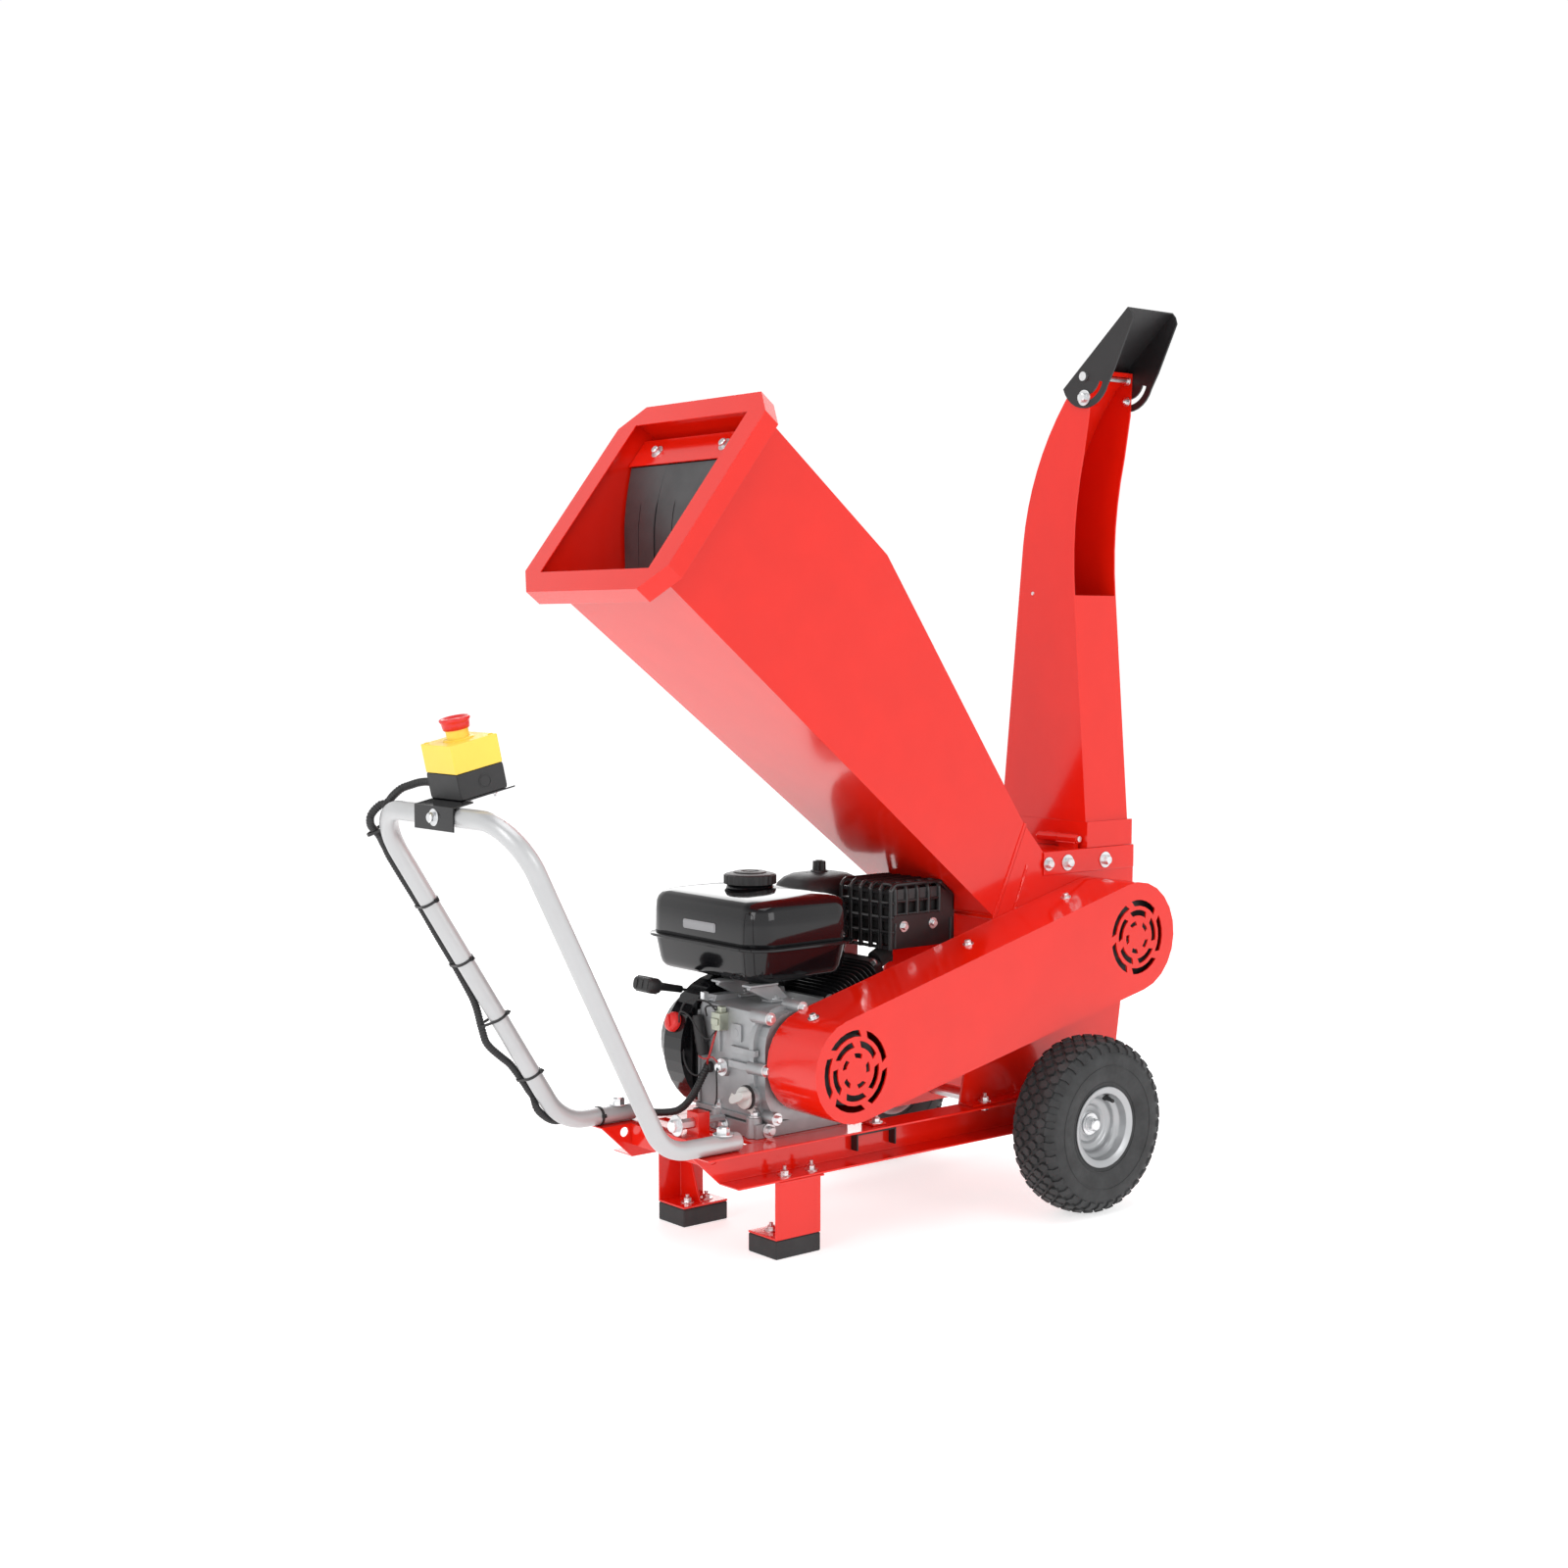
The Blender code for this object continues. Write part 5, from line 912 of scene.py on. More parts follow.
def build_cylinder():
    """The slanted barrel with twelve fins, the head and its bolts, and the plug lead."""
    along, rise = slanted(25)

    def section(s, half_y, low, high, corner):
        middle = CRANK + along * s + Vector((0, -0.001, 0)) + rise * ((low + high) / 2)
        return [
            middle + Vector((0, u, 0)) + rise * v
            for u, v in rounded_rectangle(half_y, (high - low) / 2, corner, 6)
        ]

    mesh = bmesh.new()
    add_skin(mesh, [section(s, 0.043, -0.046, 0.024, 0.020) for s in (0.106, 0.206)])
    for index in range(12):
        s = 0.112 + index * 0.0075
        grow = 0.0025 if index > 7 else 0.0
        full = (0.0545 + grow, -0.0565, 0.0305, 0.018)
        thin = (0.0535 + grow, -0.0555, 0.0295, 0.017)
        add_skin(
            mesh,
            [
                section(s + t, *size)
                for t, size in ((0.0, thin), (0.0004, full), (0.0016, full), (0.0020, thin))
            ],
        )
    head = 0.2005
    add_skin(
        mesh,
        [
            section(head, 0.049, -0.050, 0.030, 0.010), section(head + 0.006, 0.050, -0.051, 0.031, 0.010),
            section(head + 0.0065, 0.046, -0.047, 0.027, 0.012),
            section(head + 0.0185, 0.044, -0.045, 0.025, 0.013),
            section(head + 0.0205, 0.041, -0.042, 0.022, 0.012),
        ],
    )
    piece(
        "cylinder_fins", mesh, HEAT_BLACK, "chassis", node=["cylinder", "cylinder_head"],
        angle=35,
    )
    seat = CRANK + along * (head + 0.006)
    corners = ((-0.042, -0.043), (0.040, -0.043), (-0.042, 0.023), (0.040, 0.023))
    bolts(
        "head_bolts", "chassis",
        [(seat + Vector((0, y, 0)) + rise * v, along, 0.008, 0.0) for y, v in corners],
    )
    plug = CRANK + along * 0.196 + Vector((0, 0.046, 0)) + rise * -0.020
    lead = [
        (0, 0, 0), (0.006, 0.014, -0.002), (0.002, 0.034, 0.004), (-0.030, 0.042, 0.006),
        (-0.085, 0.030, -0.004),
    ]
    mesh = bmesh.new()
    add_tube(mesh, smooth_route([plug + Vector(point) for point in lead], 8), 0.0032, 10)
    add_tube(mesh, [plug, plug + Vector((0.007, 0.018, -0.003))], [0.0075, 0.0062], 16)
    piece("plug_lead", mesh, RUBBER, "chassis")


COVER_BOLTS = [(-0.4985, 0.3235), (-0.5055, 0.2535), (-0.4870, 0.1845), (-0.4420, 0.3325)]
DRAIN_Y = (-0.0760, 0.0020)


def build_crankcase():
    """What is cast on the crankcase: the cover's flange and bosses, pads, ribs and drain stubs."""
    mesh = bmesh.new()
    flange = arc((-0.4580, 0.2240), 0.0505, 180, 262, 10)
    flange += [(-0.3560, 0.1745), (-0.3450, 0.1830), (-0.3450, 0.3240), (-0.3530, 0.3335)]
    flange += arc((-0.4600, 0.2840), 0.0500, 92, 180, 10)
    add_prism(mesh, flange, -0.0042, 0.0052, plane(at(0, -0.0755, 0), TO_CHUTE, UP))
    for x, z in COVER_BOLTS + [(-0.3640, 0.3290)]:
        boss = [(0.0078, 0.0335), (0.0085, 0.0325), (0.0092, 0.0120), (0.0098, 0.0)]
        add_turned(mesh, boss, 28, place(at(x, -0.0700, z), NEAR))
    pad = plane(at(-0.505, 0.0, 0.0), NEAR, UP)
    sunk = -0.001
    add_prism(
        mesh, [(u + 0.040, v + 0.2970) for u, v in rounded_rectangle(0.0115, 0.0120, 0.003)], sunk, 0.0030,
        pad,
    )
    add_turned(mesh, [(0.0052, 0.0036), (0.0056, 0.0030)], 24, pad @ Matrix.Translation((0.040, 0.297, 0)))
    add_box(mesh, (0.030, 0.2695, sunk), (0.086, 0.2785, 0.0060), pad, 0.93)
    add_box(mesh, (0.026, 0.2480, sunk), (0.088, 0.2585, 0.0065), pad, 0.93)
    add_prism(
        mesh, [(u + 0.0125, v + 0.2450) for u, v in rounded_rectangle(0.0125, 0.0130, 0.010)], sunk, 0.0050,
        pad, 0.9,
    )
    add_box(mesh, (-0.052, 0.1790, sunk), (0.070, 0.1860, 0.0038), pad, 0.96)
    add_box(mesh, (-0.046, 0.186, sunk), (-0.042, 0.318, 0.0032), pad, 0.98)
    add_box(mesh, (0.0005, 0.265, sunk), (0.0045, 0.322, 0.0032), pad, 0.98)
    for y in DRAIN_Y:
        stub = [(0.0095, 0.0285), (0.0110, 0.0270), (0.0122, 0.0)]
        add_turned(mesh, stub, 28, Matrix.Translation(at(-0.5040, y, 0.1575)))
    add_tube(mesh, [at(-0.500, -0.072, 0.2140), at(-0.5105, -0.0750, 0.2140)], [0.0165, 0.0150], 28)
    ledge = [(-0.4980, 0.3310), (-0.3700, 0.3310), (-0.3720, 0.3395), (-0.4940, 0.3395)]
    add_prism(mesh, ledge, -0.038, -0.020, SIDE_VIEW)
    piece("crankcase_bosses", mesh, CAST, "chassis", bevel=0.0009, angle=40)
    rows = [(at(x, -0.1035, z), NEAR, 0.0095, 0.0) for x, z in COVER_BOLTS]
    rows += [(at(-0.5040, y, 0.1860), UP, 0.0095, 0.004) for y in DRAIN_Y]
    rows += [
        (at(-0.5125, -0.0200, 0.1660), TO_HANDLE, 0.0100, 0.0),
        (at(-0.4900, -0.0905, 0.1670), NEAR, 0.0115, 0.0),
        (at(-0.5100, -0.0125, 0.2450), TO_HANDLE, 0.0130, 0.0),
        (at(-0.4380, -0.0380, 0.3362), UP, 0.0080, 0.0), (at(-0.4420, 0.0260, 0.3362), UP, 0.0080, 0.0),
    ]
    bolts("crankcase_bolts", "chassis", rows)


def build_oil_cap():
    """The filler's cap with its thumb wing, and the seal behind it."""
    middle = middle_of("oil_filler_cap")
    axis = plane((AXLE.x - 0.509, middle.y, middle.z), NEAR, UP)
    turned = axis @ Matrix.Translation((0.002, 0.002, 0)) @ Matrix.Rotation(math.radians(24), 4, "Z")
    wing = []
    for index in range(40):
        angle = 2 * math.pi * index / 40
        wing.append((0.0195 * math.cos(angle), (0.0068 + 0.0030 * math.cos(angle) ** 2) * math.sin(angle)))
    mesh = bmesh.new()
    add_turned(mesh, [(0.0120, 0.0165), (0.0150, 0.0150), (0.0156, 0.0120), (0.0150, 0.0103)], 40, axis)
    add_turned(mesh, [(0.0082, 0.0104), (0.0082, -0.006)], 24, axis)
    add_prism(mesh, wing, 0.0150, 0.0285, turned, 0.84)
    piece(
        "oil_cap_moulding", mesh, IVORY, "oil_cap", node="oil_filler_cap", bevel=0.0008,
        angle=40,
    )
    mesh = bmesh.new()
    seal = [
        (0.0148, 0.0100), (0.0168, 0.0094), (0.0168, 0.0062), (0.0150, 0.0056), (0.0092, 0.0056),
        (0.0092, 0.0100),
    ]
    add_turned(mesh, seal, 40, axis, True)
    piece("oil_cap_seal", mesh, RUBBER, "chassis")


def build_tag():
    """A blank tag on two strings, behind the oil cap."""
    tag = plane(at(-0.5175, -0.0660, 0.2045), (0.349, -0.828, -0.439), (0.170, -0.405, 0.898))
    mesh = bmesh.new()
    add_prism(mesh, rounded_rectangle(0.0200, 0.0045, 0.0008), 0.0, 0.0008, tag)
    add_prism(mesh, rounded_rectangle(0.0190, 0.0035, 0.0006), 0.0006, 0.0011, tag)
    add_tube(mesh, [tag @ Vector((-0.012, -0.003, 0.0002)), at(-0.5060, -0.0600, 0.1960)], 0.0012, 8)
    add_tube(mesh, [tag @ Vector((0.012, 0.003, 0.0002)), at(-0.5060, -0.0840, 0.2010)], 0.0012, 8)
    piece("blank_tag", mesh, IVORY, "chassis", bevel=0.0002)


def build_air_shroud():
    """The ribbed sheet that guides the fan's air over the cylinder."""
    sheet = [
        (-0.478, 0.298), (-0.262, 0.298), (-0.262, 0.332), (-0.300, 0.354), (-0.440, 0.354), (-0.478, 0.342),
    ]
    mesh = bmesh.new()
    add_prism(mesh, sheet, -0.0615, -0.0575, SIDE_VIEW)
    for x in (-0.455, -0.400, -0.345, -0.290):
        add_box(mesh, (x, 0.302, -0.0580), (x + 0.004, 0.350, -0.0560), SIDE_VIEW)
    piece("air_shroud", mesh, SATIN_BLACK, "chassis", bevel=0.0012)


def build_starter():
    """The recoil cover's spokes, hub ring, feet and bolts."""
    low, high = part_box("starter_cover")
    out = plane((CRANK.x, 0.0, CRANK.z), TO_HANDLE, UP)
    face = high.y
    spokes = 14
    mesh = bmesh.new()
    for index in range(2, spokes):
        turn = out @ Matrix.Rotation(2 * math.pi * index / spokes, 4, "Z")
        spoke = [(0.026, -0.0028), (0.050, -0.0046), (0.050, 0.0046), (0.026, 0.0028)]
        add_prism(mesh, spoke, face - 0.001, face + 0.0018, turn)
    rim = [
        (0.0195, face - 0.001), (0.0195, face + 0.0022), (0.0170, face + 0.0028), (0.0150, face + 0.0022),
        (0.0150, face - 0.001),
    ]
    add_turned(mesh, rim, 48, out, True)
    rows = []
    for angle in (50, 140, 230, 320):
        spot = out @ Matrix.Rotation(math.radians(angle), 4, "Z")
        foot = [(0.076, -0.010), (0.0905, -0.0075), (0.0905, 0.0075), (0.076, 0.010)]
        add_prism(mesh, foot, low.y - 0.0002, low.y + 0.0036, spot)
        rows.append((spot @ Vector((0.0845, 0, low.y + 0.0034)), FAR, 0.0080, 0.0))
    piece("starter_pressings", mesh, GLOSS_BLACK, "chassis", bevel=0.0006)
    bolts("starter_bolts", "chassis", rows)


def build_starter_grip():
    """The T-shaped grip with three finger slots, on its cord."""
    along, fall = slanted(168)
    origin = Vector((CRANK.x, middle_of("starter_grip").y, CRANK.z))
    turn = Matrix((along, FAR, along.cross(FAR))).transposed().to_4x4()
    where = Matrix.Translation(origin - fall * 0.062) @ turn
    sections = [
        (0.058, 0.0052, 0.0052, 0.005), (0.074, 0.0056, 0.0054, 0.005), (0.092, 0.0062, 0.0058, 0.005),
        (0.1010, 0.0085, 0.0070, 0.005), (0.1055, 0.0165, 0.0090, 0.007), (0.1090, 0.0205, 0.0098, 0.0075),
        (0.1130, 0.0215, 0.0104, 0.008), (0.1250, 0.0215, 0.0104, 0.008), (0.1290, 0.0203, 0.0096, 0.0075),
        (0.1305, 0.0185, 0.0080, 0.006),
    ]
    mesh = bmesh.new()
    add_skin(mesh, [
        [where @ Vector((s, u, v)) for u, v in rounded_rectangle(half_y, half_z, corner, 5)]
        for s, half_y, half_z, corner in sections
    ])
    add_tube(mesh, [where @ Vector((-0.004, 0, 0)), where @ Vector((0.084, 0, 0))], 0.0020, 10)
    for u in (-0.0128, 0.0, 0.0128):
        spot = where @ Matrix.Translation((0.1190, u, 0.0))
        add_box(mesh, (-0.0060, -0.0044, -0.0112), (0.0060, 0.0044, 0.0112), spot)
        add_box(mesh, (0.0095, -0.0040, -0.0062), (0.0122, 0.0040, 0.0062), spot)
    piece(
        "starter_grip_moulding", mesh, MOULDED_BLACK, "starter_pull", node="starter_grip",
        angle=40,
    )


def build_switch_knob():
    """The domed rotary switch with its finger bar."""
    out, _ = slanted(158)
    spot = place(Vector((CRANK.x, middle_of("engine_switch").y, CRANK.z)) + out * 0.0985, out)
    dome = [
        (0, 0.0108), (0.0070, 0.0106), (0.0110, 0.0094), (0.0132, 0.0072), (0.0142, 0.0040), (0.0144, 0.0),
    ]
    mesh = bmesh.new()
    add_turned(mesh, dome, 40, spot)
    add_prism(
        mesh, rounded_rectangle(0.0024, 0.0105, 0.002), 0.0060, 0.0128, spot @ Matrix.Rotation(0.6, 4, "Z"),
        0.9,
    )
    piece(
        "switch_knob", mesh, STOP_RED, "switch", node="engine_switch", bevel=0.0005,
        angle=40,
    )


def build_relay():
    case = plane(at(-0.5075, -0.010, 0.3095), NEAR, UP)
    mesh = bmesh.new()
    add_prism(mesh, rounded_rectangle(0.0098, 0.0130, 0.0025), -0.003, 0.0125, case, 0.95)
    add_prism(mesh, rounded_rectangle(0.0075, 0.0045, 0.002), 0.0120, 0.0150, case)
    add_prism(
        mesh, [(u, v + 0.016) for u, v in rounded_rectangle(0.0062, 0.0045, 0.002)], -0.002, 0.0070, case,
    )
    piece("start_relay", mesh, PALE_METAL, "chassis", bevel=0.0007)


def build_ignition_module():
    coil = Matrix.Translation(at(-0.5135, 0.0260, 0.2560)) @ Matrix.Rotation(math.radians(-14), 4, "X")
    barrel = [
        (0.0058, 0.0570), (0.0072, 0.0556), (0.0076, 0.0500), (0.0076, 0.0485), (0.0082, 0.0480),
        (0.0082, 0.0060), (0.0076, 0.0050), (0.0072, 0.0),
    ]
    mesh = bmesh.new()
    add_turned(mesh, barrel, 32, coil)
    add_box(mesh, (-0.004, -0.010, 0.018), (0.010, 0.010, 0.024), coil)
    piece("ignition_module", mesh, MOULDED_BLACK, "chassis", bevel=0.0005)


LEADS = {
    "lead_switch": (
        0.0014, RUBBER, "rubber",
        [
            (-0.5290, 0.0620, 0.3080), (-0.5300, 0.0460, 0.3300), (-0.5240, 0.0240, 0.3360),
            (-0.5190, 0.0060, 0.3330), (-0.5160, -0.0060, 0.3240),
        ],
    ),
    "lead_loop": (
        0.0012, RUBBER, "rubber",
        [
            (-0.5300, 0.0600, 0.3000), (-0.5400, 0.0440, 0.3180), (-0.5380, 0.0260, 0.3140),
            (-0.5300, 0.0130, 0.2920), (-0.5240, 0.0020, 0.2840), (-0.5180, -0.0080, 0.2960),
        ],
    ),
    "lead_coil": (
        0.0013, RUBBER, "rubber",
        [
            (-0.5150, 0.0160, 0.3130), (-0.5200, 0.0120, 0.3260), (-0.5180, 0.0010, 0.3300),
            (-0.5120, -0.0100, 0.3280),
        ],
    ),
    "lead_low": (
        0.0013, RUBBER, "rubber",
        [
            (-0.5260, 0.0560, 0.2700), (-0.5300, 0.0480, 0.2480), (-0.5280, 0.0360, 0.2320),
            (-0.5220, 0.0250, 0.2300), (-0.5120, 0.0220, 0.2440),
        ],
    ),
    "lead_red": (
        0.0016, RED_WIRE, "red_plastic",
        [
            (-0.5150, -0.0060, 0.2960), (-0.5180, -0.0020, 0.2790), (-0.5190, 0.0040, 0.2620),
            (-0.5160, 0.0130, 0.2520), (-0.5110, 0.0190, 0.2440),
        ],
    ),
    "lead_red_short": (
        0.0011, RED_WIRE, "red_plastic",
        [
            (-0.5200, 0.0280, 0.2560), (-0.5210, 0.0140, 0.2540), (-0.5180, 0.0000, 0.2580),
            (-0.5160, -0.0100, 0.2520),
        ],
    ),
    "lead_sensor": (
        0.0012, RUBBER, "rubber",
        [
            (-0.5190, -0.0130, 0.2450), (-0.5220, -0.0150, 0.2380), (-0.5200, -0.0130, 0.2200),
            (-0.5150, -0.0060, 0.2000), (-0.5110, 0.0020, 0.1900),
        ],
    ),
}


def build_leads():
    """The wires on the crankcase's end. Each has its radius, its finish and the points that it passes."""
    for name, (radius, material, slot, points) in LEADS.items():
        mesh = bmesh.new()
        add_tube(mesh, smooth_route([at(*point) for point in points], 8), radius, 8)
        piece(name, mesh, material, "chassis")


# ---------------------------------------------------------------------------------------------
# Chassis, handle and stop button
# ---------------------------------------------------------------------------------------------

CONDUIT = [
    (-0.907, 0.0368, 0.657), (-0.907, 0.050, 0.657), (-0.909, 0.070, 0.659), (-0.913, 0.090, 0.660),
    (-0.921, 0.110, 0.658), (-0.932, 0.129, 0.653), (-0.946, 0.146, 0.644), (-0.959, 0.160, 0.631),
    (-0.9665, 0.1695, 0.614), (-0.9665, 0.1755, 0.595), (-0.958, 0.1785, 0.575), (-0.947, 0.1785, 0.555),
    (-0.9335, 0.1765, 0.530), (-0.9125, 0.1725, 0.494), (-0.892, 0.1685, 0.459), (-0.872, 0.1645, 0.423),
    (-0.852, 0.160, 0.388), (-0.8325, 0.1575, 0.352), (-0.8145, 0.1560, 0.317), (-0.7955, 0.1535, 0.283),
    (-0.7745, 0.1490, 0.249), (-0.7545, 0.1440, 0.216), (-0.7400, 0.1410, 0.193), (-0.7220, 0.1400, 0.176),
    (-0.7000, 0.1395, 0.1685), (-0.6750, 0.1392, 0.1670), (-0.6500, 0.1390, 0.1670),
    (-0.6250, 0.1390, 0.1670), (-0.6000, 0.1390, 0.1670), (-0.5660, 0.1395, 0.1670),
    (-0.5540, 0.1350, 0.1670), (-0.5470, 0.1200, 0.1670), (-0.5420, 0.1000, 0.1675),
    (-0.5395, 0.0800, 0.1690), (-0.5365, 0.0610, 0.1740), (-0.5325, 0.0450, 0.1840),
    (-0.5280, 0.0330, 0.1990), (-0.5230, 0.0250, 0.2150), (-0.5170, 0.0210, 0.2300),
    (-0.5110, 0.0200, 0.2400), (-0.5053, 0.0200, 0.2400),
]
CONDUIT_RADIUS = 0.0054
CONDUIT_GROOVE = 0.0009

HANDLE_RADIUS = 0.0125
HANDLE_START = at(-0.5665, 0.120, 0.1698)
HANDLE_FOOT = at(-0.689, 0.120, 0.1698)
HANDLE_TOP = at(-0.946, 0.172, 0.617)
HANDLE_BEND = 0.066
TIE_SPOTS = [
    (-0.9310, 0.1690, 0.5908), (-0.8713, 0.1569, 0.4870), (-0.8243, 0.1474, 0.4052),
    (-0.7779, 0.1380, 0.3245), (-0.7302, 0.1283, 0.2415), (-0.6261, 0.1200, 0.1698),
]


def mirrored(points):
    """The points on the other side of the middle plane, in the opposite order."""
    return [Vector((point.x, -point.y, point.z)) for point in points[::-1]]


def rounded_corners(points, radius, steps):
    """The route with each corner swapped for an arc of this radius."""
    route = [points[0]]
    for before, corner, after in zip(points, points[1:], points[2:]):
        back = (before - corner).normalized()
        ahead = (after - corner).normalized()
        half = back.angle(ahead) / 2
        middle = corner + (back + ahead).normalized() * (radius / math.sin(half))
        start = (corner + back * (radius / math.tan(half)) - middle).normalized()
        end = (corner + ahead * (radius / math.tan(half)) - middle).normalized()
        route += [middle + start.slerp(end, step / steps) * radius for step in range(steps + 1)]
    return route + [points[-1]]


def build_handle():
    """One tube bent four times, with its cut ends broken."""
    far_half = [HANDLE_START, HANDLE_FOOT, HANDLE_TOP]
    route = rounded_corners(mirrored(far_half)[::-1] + far_half[::-1], HANDLE_BEND, 18)
    inward = (route[1] - route[0]).normalized()
    end = [route[0] + inward * inset for inset in (0.0, 0.0008, 0.0026)]
    end_radii = [HANDLE_RADIUS - 0.0026, HANDLE_RADIUS - 0.0008, HANDLE_RADIUS]
    radii = end_radii + [HANDLE_RADIUS] * (len(route) - 2) + end_radii[::-1]
    mesh = bmesh.new()
    add_tube(mesh, end + route[1:-1] + mirrored(end), radii, 40)
    piece("handle_tube", mesh, SILVER, "chassis", node="handle", angle=50)


def hug_handle(route, tube):
    """The route drawn in against the handle's tube, slack between two ties, and behind the tube elsewhere."""
    slack_height = 0.283
    slack_reach = 0.040
    leg_foot = 0.19
    to_behind = Vector((0.50, 0.55, 0.30))
    drawn = []
    for point in route:
        near, _, _, distance = tube.find_nearest(point)
        slack = max(0.0, 1 - abs(point.z - slack_height) / slack_reach)
        wanted = 0.0060 + 0.009 * slack + 1.6 * max(0.0, distance - 0.025)
        outward = (point - near) / distance
        middle = near - outward * HANDLE_RADIUS
        if point.z >= leg_foot:
            behind = min(1.0, max(0.0, (0.030 - distance) / 0.008)) * (1 - slack)
            outward = (outward + to_behind * behind).normalized()
        drawn.append(middle + outward * (HANDLE_RADIUS + min(distance, wanted)))
    return drawn


def build_conduit():
    """The corrugated hose with its glands, and the ties that hold it to the handle."""
    handle = frame["nodes"]["handle"]
    corners = [handle.matrix_world @ vertex.co for vertex in handle.data.vertices]
    tube = BVHTree.FromPolygons(corners, [face.vertices for face in handle.data.polygons])
    route = hug_handle(even_route(smooth_route([at(*point) for point in CONDUIT], 10), 0.0040), tube)
    route = even_route(smooth_route(route[::3] + [route[-1]], 6), 0.0013)
    radii = [CONDUIT_RADIUS if index % 3 else CONDUIT_RADIUS - CONDUIT_GROOVE for index in range(len(route))]
    mesh = bmesh.new()
    add_tube(mesh, route, radii, 12)
    piece(
        "conduit_hose", mesh, MOULDED_BLACK, "chassis", node="estop_conduit", angle=60,
    )
    nut = place(at(-0.907, 0.0366, 0.657), FAR)
    mesh = bmesh.new()
    add_prism(mesh, [(x * 0.0098, y * 0.0098) for x, y in HEX], 0.0, 0.0062, nut)
    add_turned(mesh, [(0.0066, 0.0130), (0.0082, 0.0105), (0.0086, 0.0060)], 28, nut)
    gland = [(0.0068, 0.0075), (0.0078, 0.0065), (0.0080, 0.0)]
    add_turned(mesh, gland, 28, place(at(-0.5050, 0.0200, 0.2400), TO_HANDLE))
    piece("conduit_glands", mesh, MOULDED_BLACK, "chassis", bevel=0.0005)
    build_ties(route)


def tie_band(reach):
    """Half-turns round the tube and round the conduit beside it, joined by their common tangents."""
    tube_radius = 0.0131
    hose_radius = 0.0060
    lean = math.acos((tube_radius - hose_radius) / reach)
    band = []
    for step in range(25):
        angle = lean + (2 * math.pi - 2 * lean) * step / 24
        band.append((tube_radius * math.cos(angle), tube_radius * math.sin(angle)))
    for step in range(11):
        angle = -lean + 2 * lean * step / 10
        band.append((reach + hose_radius * math.cos(angle), hose_radius * math.sin(angle)))
    return band


def build_ties(route):
    """A cable tie at each spot, square to the handle and reaching round the nearest point of the route."""
    mesh = bmesh.new()
    leg = (HANDLE_FOOT - HANDLE_TOP).normalized()
    for spot in (at(*point) for point in TIE_SPOTS):
        direction = leg if spot.z > 0.2 else Vector(TO_CHUTE)
        off = min(route, key=lambda point: (point - spot).length) - spot
        off -= direction * off.dot(direction)
        side = off.normalized()
        where = Matrix.Translation(spot) @ Matrix((
            side, direction.cross(side), direction,
        )).transposed().to_4x4()
        band = tie_band(max(off.length, 0.0180))
        for first, second in zip(band, band[1:] + band[:1]):
            along = Vector((second[0] - first[0], second[1] - first[1], 0))
            turn = Matrix.Rotation(math.atan2(along.y, along.x), 4, "Z")
            strip = where @ Matrix.Translation((*first, 0)) @ turn
            add_box(mesh, (-0.0002, -0.0006, -0.0018), (along.length + 0.0002, 0.0007, 0.0018), strip)
        head = where @ Matrix.Translation((-0.0131, 0, 0))
        add_box(mesh, (-0.0034, -0.0026, -0.0026), (0.0006, 0.0026, 0.0026), head)
        add_box(mesh, (-0.0060, -0.0008, -0.0016), (-0.0030, 0.0006, 0.0016), head)
    piece("cable_ties", mesh, SATIN_BLACK, "chassis")


def build_frame_fasteners():
    """The bolts and nuts of the rails, legs, crossmember and rotor housing, then those of the belt guard."""
    rail = 0.1240
    clip = 0.1210
    leg = 0.0950
    rows = []
    for side in (-1, 1):
        rows += [
            (at(-0.5920, side * 0.1200, 0.1820), UP, 0.0150, 0.0),
            (at(-0.4905, side * rail, 0.1122), UP, 0.0100, 0.006),
            (at(-0.4430, side * rail, 0.1122), UP, 0.0100, 0.006),
            (at(-0.4905, side * rail, 0.1055), DOWN, 0.0100, 0.0),
            (at(-0.4430, side * rail, 0.1055), DOWN, 0.0100, 0.0),
            (at(-0.4900, side * leg, 0.0294), UP, 0.0100, 0.004),
            (at(-0.4560, side * leg, 0.0294), UP, 0.0100, 0.004),
            (at(-0.1080, side * clip, 0.1600), UP, 0.0100, 0.005),
            (at(-0.1080, side * clip, 0.1538), DOWN, 0.0100, 0.0),
            (at(-0.0200, side * clip, 0.1600), UP, 0.0100, 0.005),
        ]
    rows += [
        (at(-0.5930, -0.0180, 0.1760), TO_HANDLE, 0.0155, 0.0),
        (at(-0.3240, -0.1240, 0.1603), UP, 0.0100, 0.004),
        (at(0.0345, -0.1095, 0.4985), NEAR, 0.0110, 0.0),
        (at(0.0760, -0.1095, 0.4980), NEAR, 0.0130, 0.0),
        (at(0.1595, -0.1095, 0.4970), NEAR, 0.0130, 0.0),
    ]
    bolts("frame_bolts", "chassis", rows)
    lift = Vector((-0.2273, 0, 0.9736))
    clutch = at(-0.4355, -0.150, 0.2605)
    to_rotor = Vector((0.5588, 0, 0.1305))
    rows = []
    for x in (0.2810, 0.4835):
        share = x / to_rotor.x
        rows.append((clutch + to_rotor * share + lift * (0.0713 + 0.0112 * share), lift, 0.0085, 0.0))
    out = Vector((-0.36, 0, 0.933)).normalized()
    rows.append((clutch + out * 0.0716, out, 0.0085, 0.0))
    bolts("guard_bolts", "chassis", rows)


STOP_MIDDLE = at(-0.9025, 0.0, 0.6435)
STOP_ALONG, STOP_RISE = slanted(12.5)


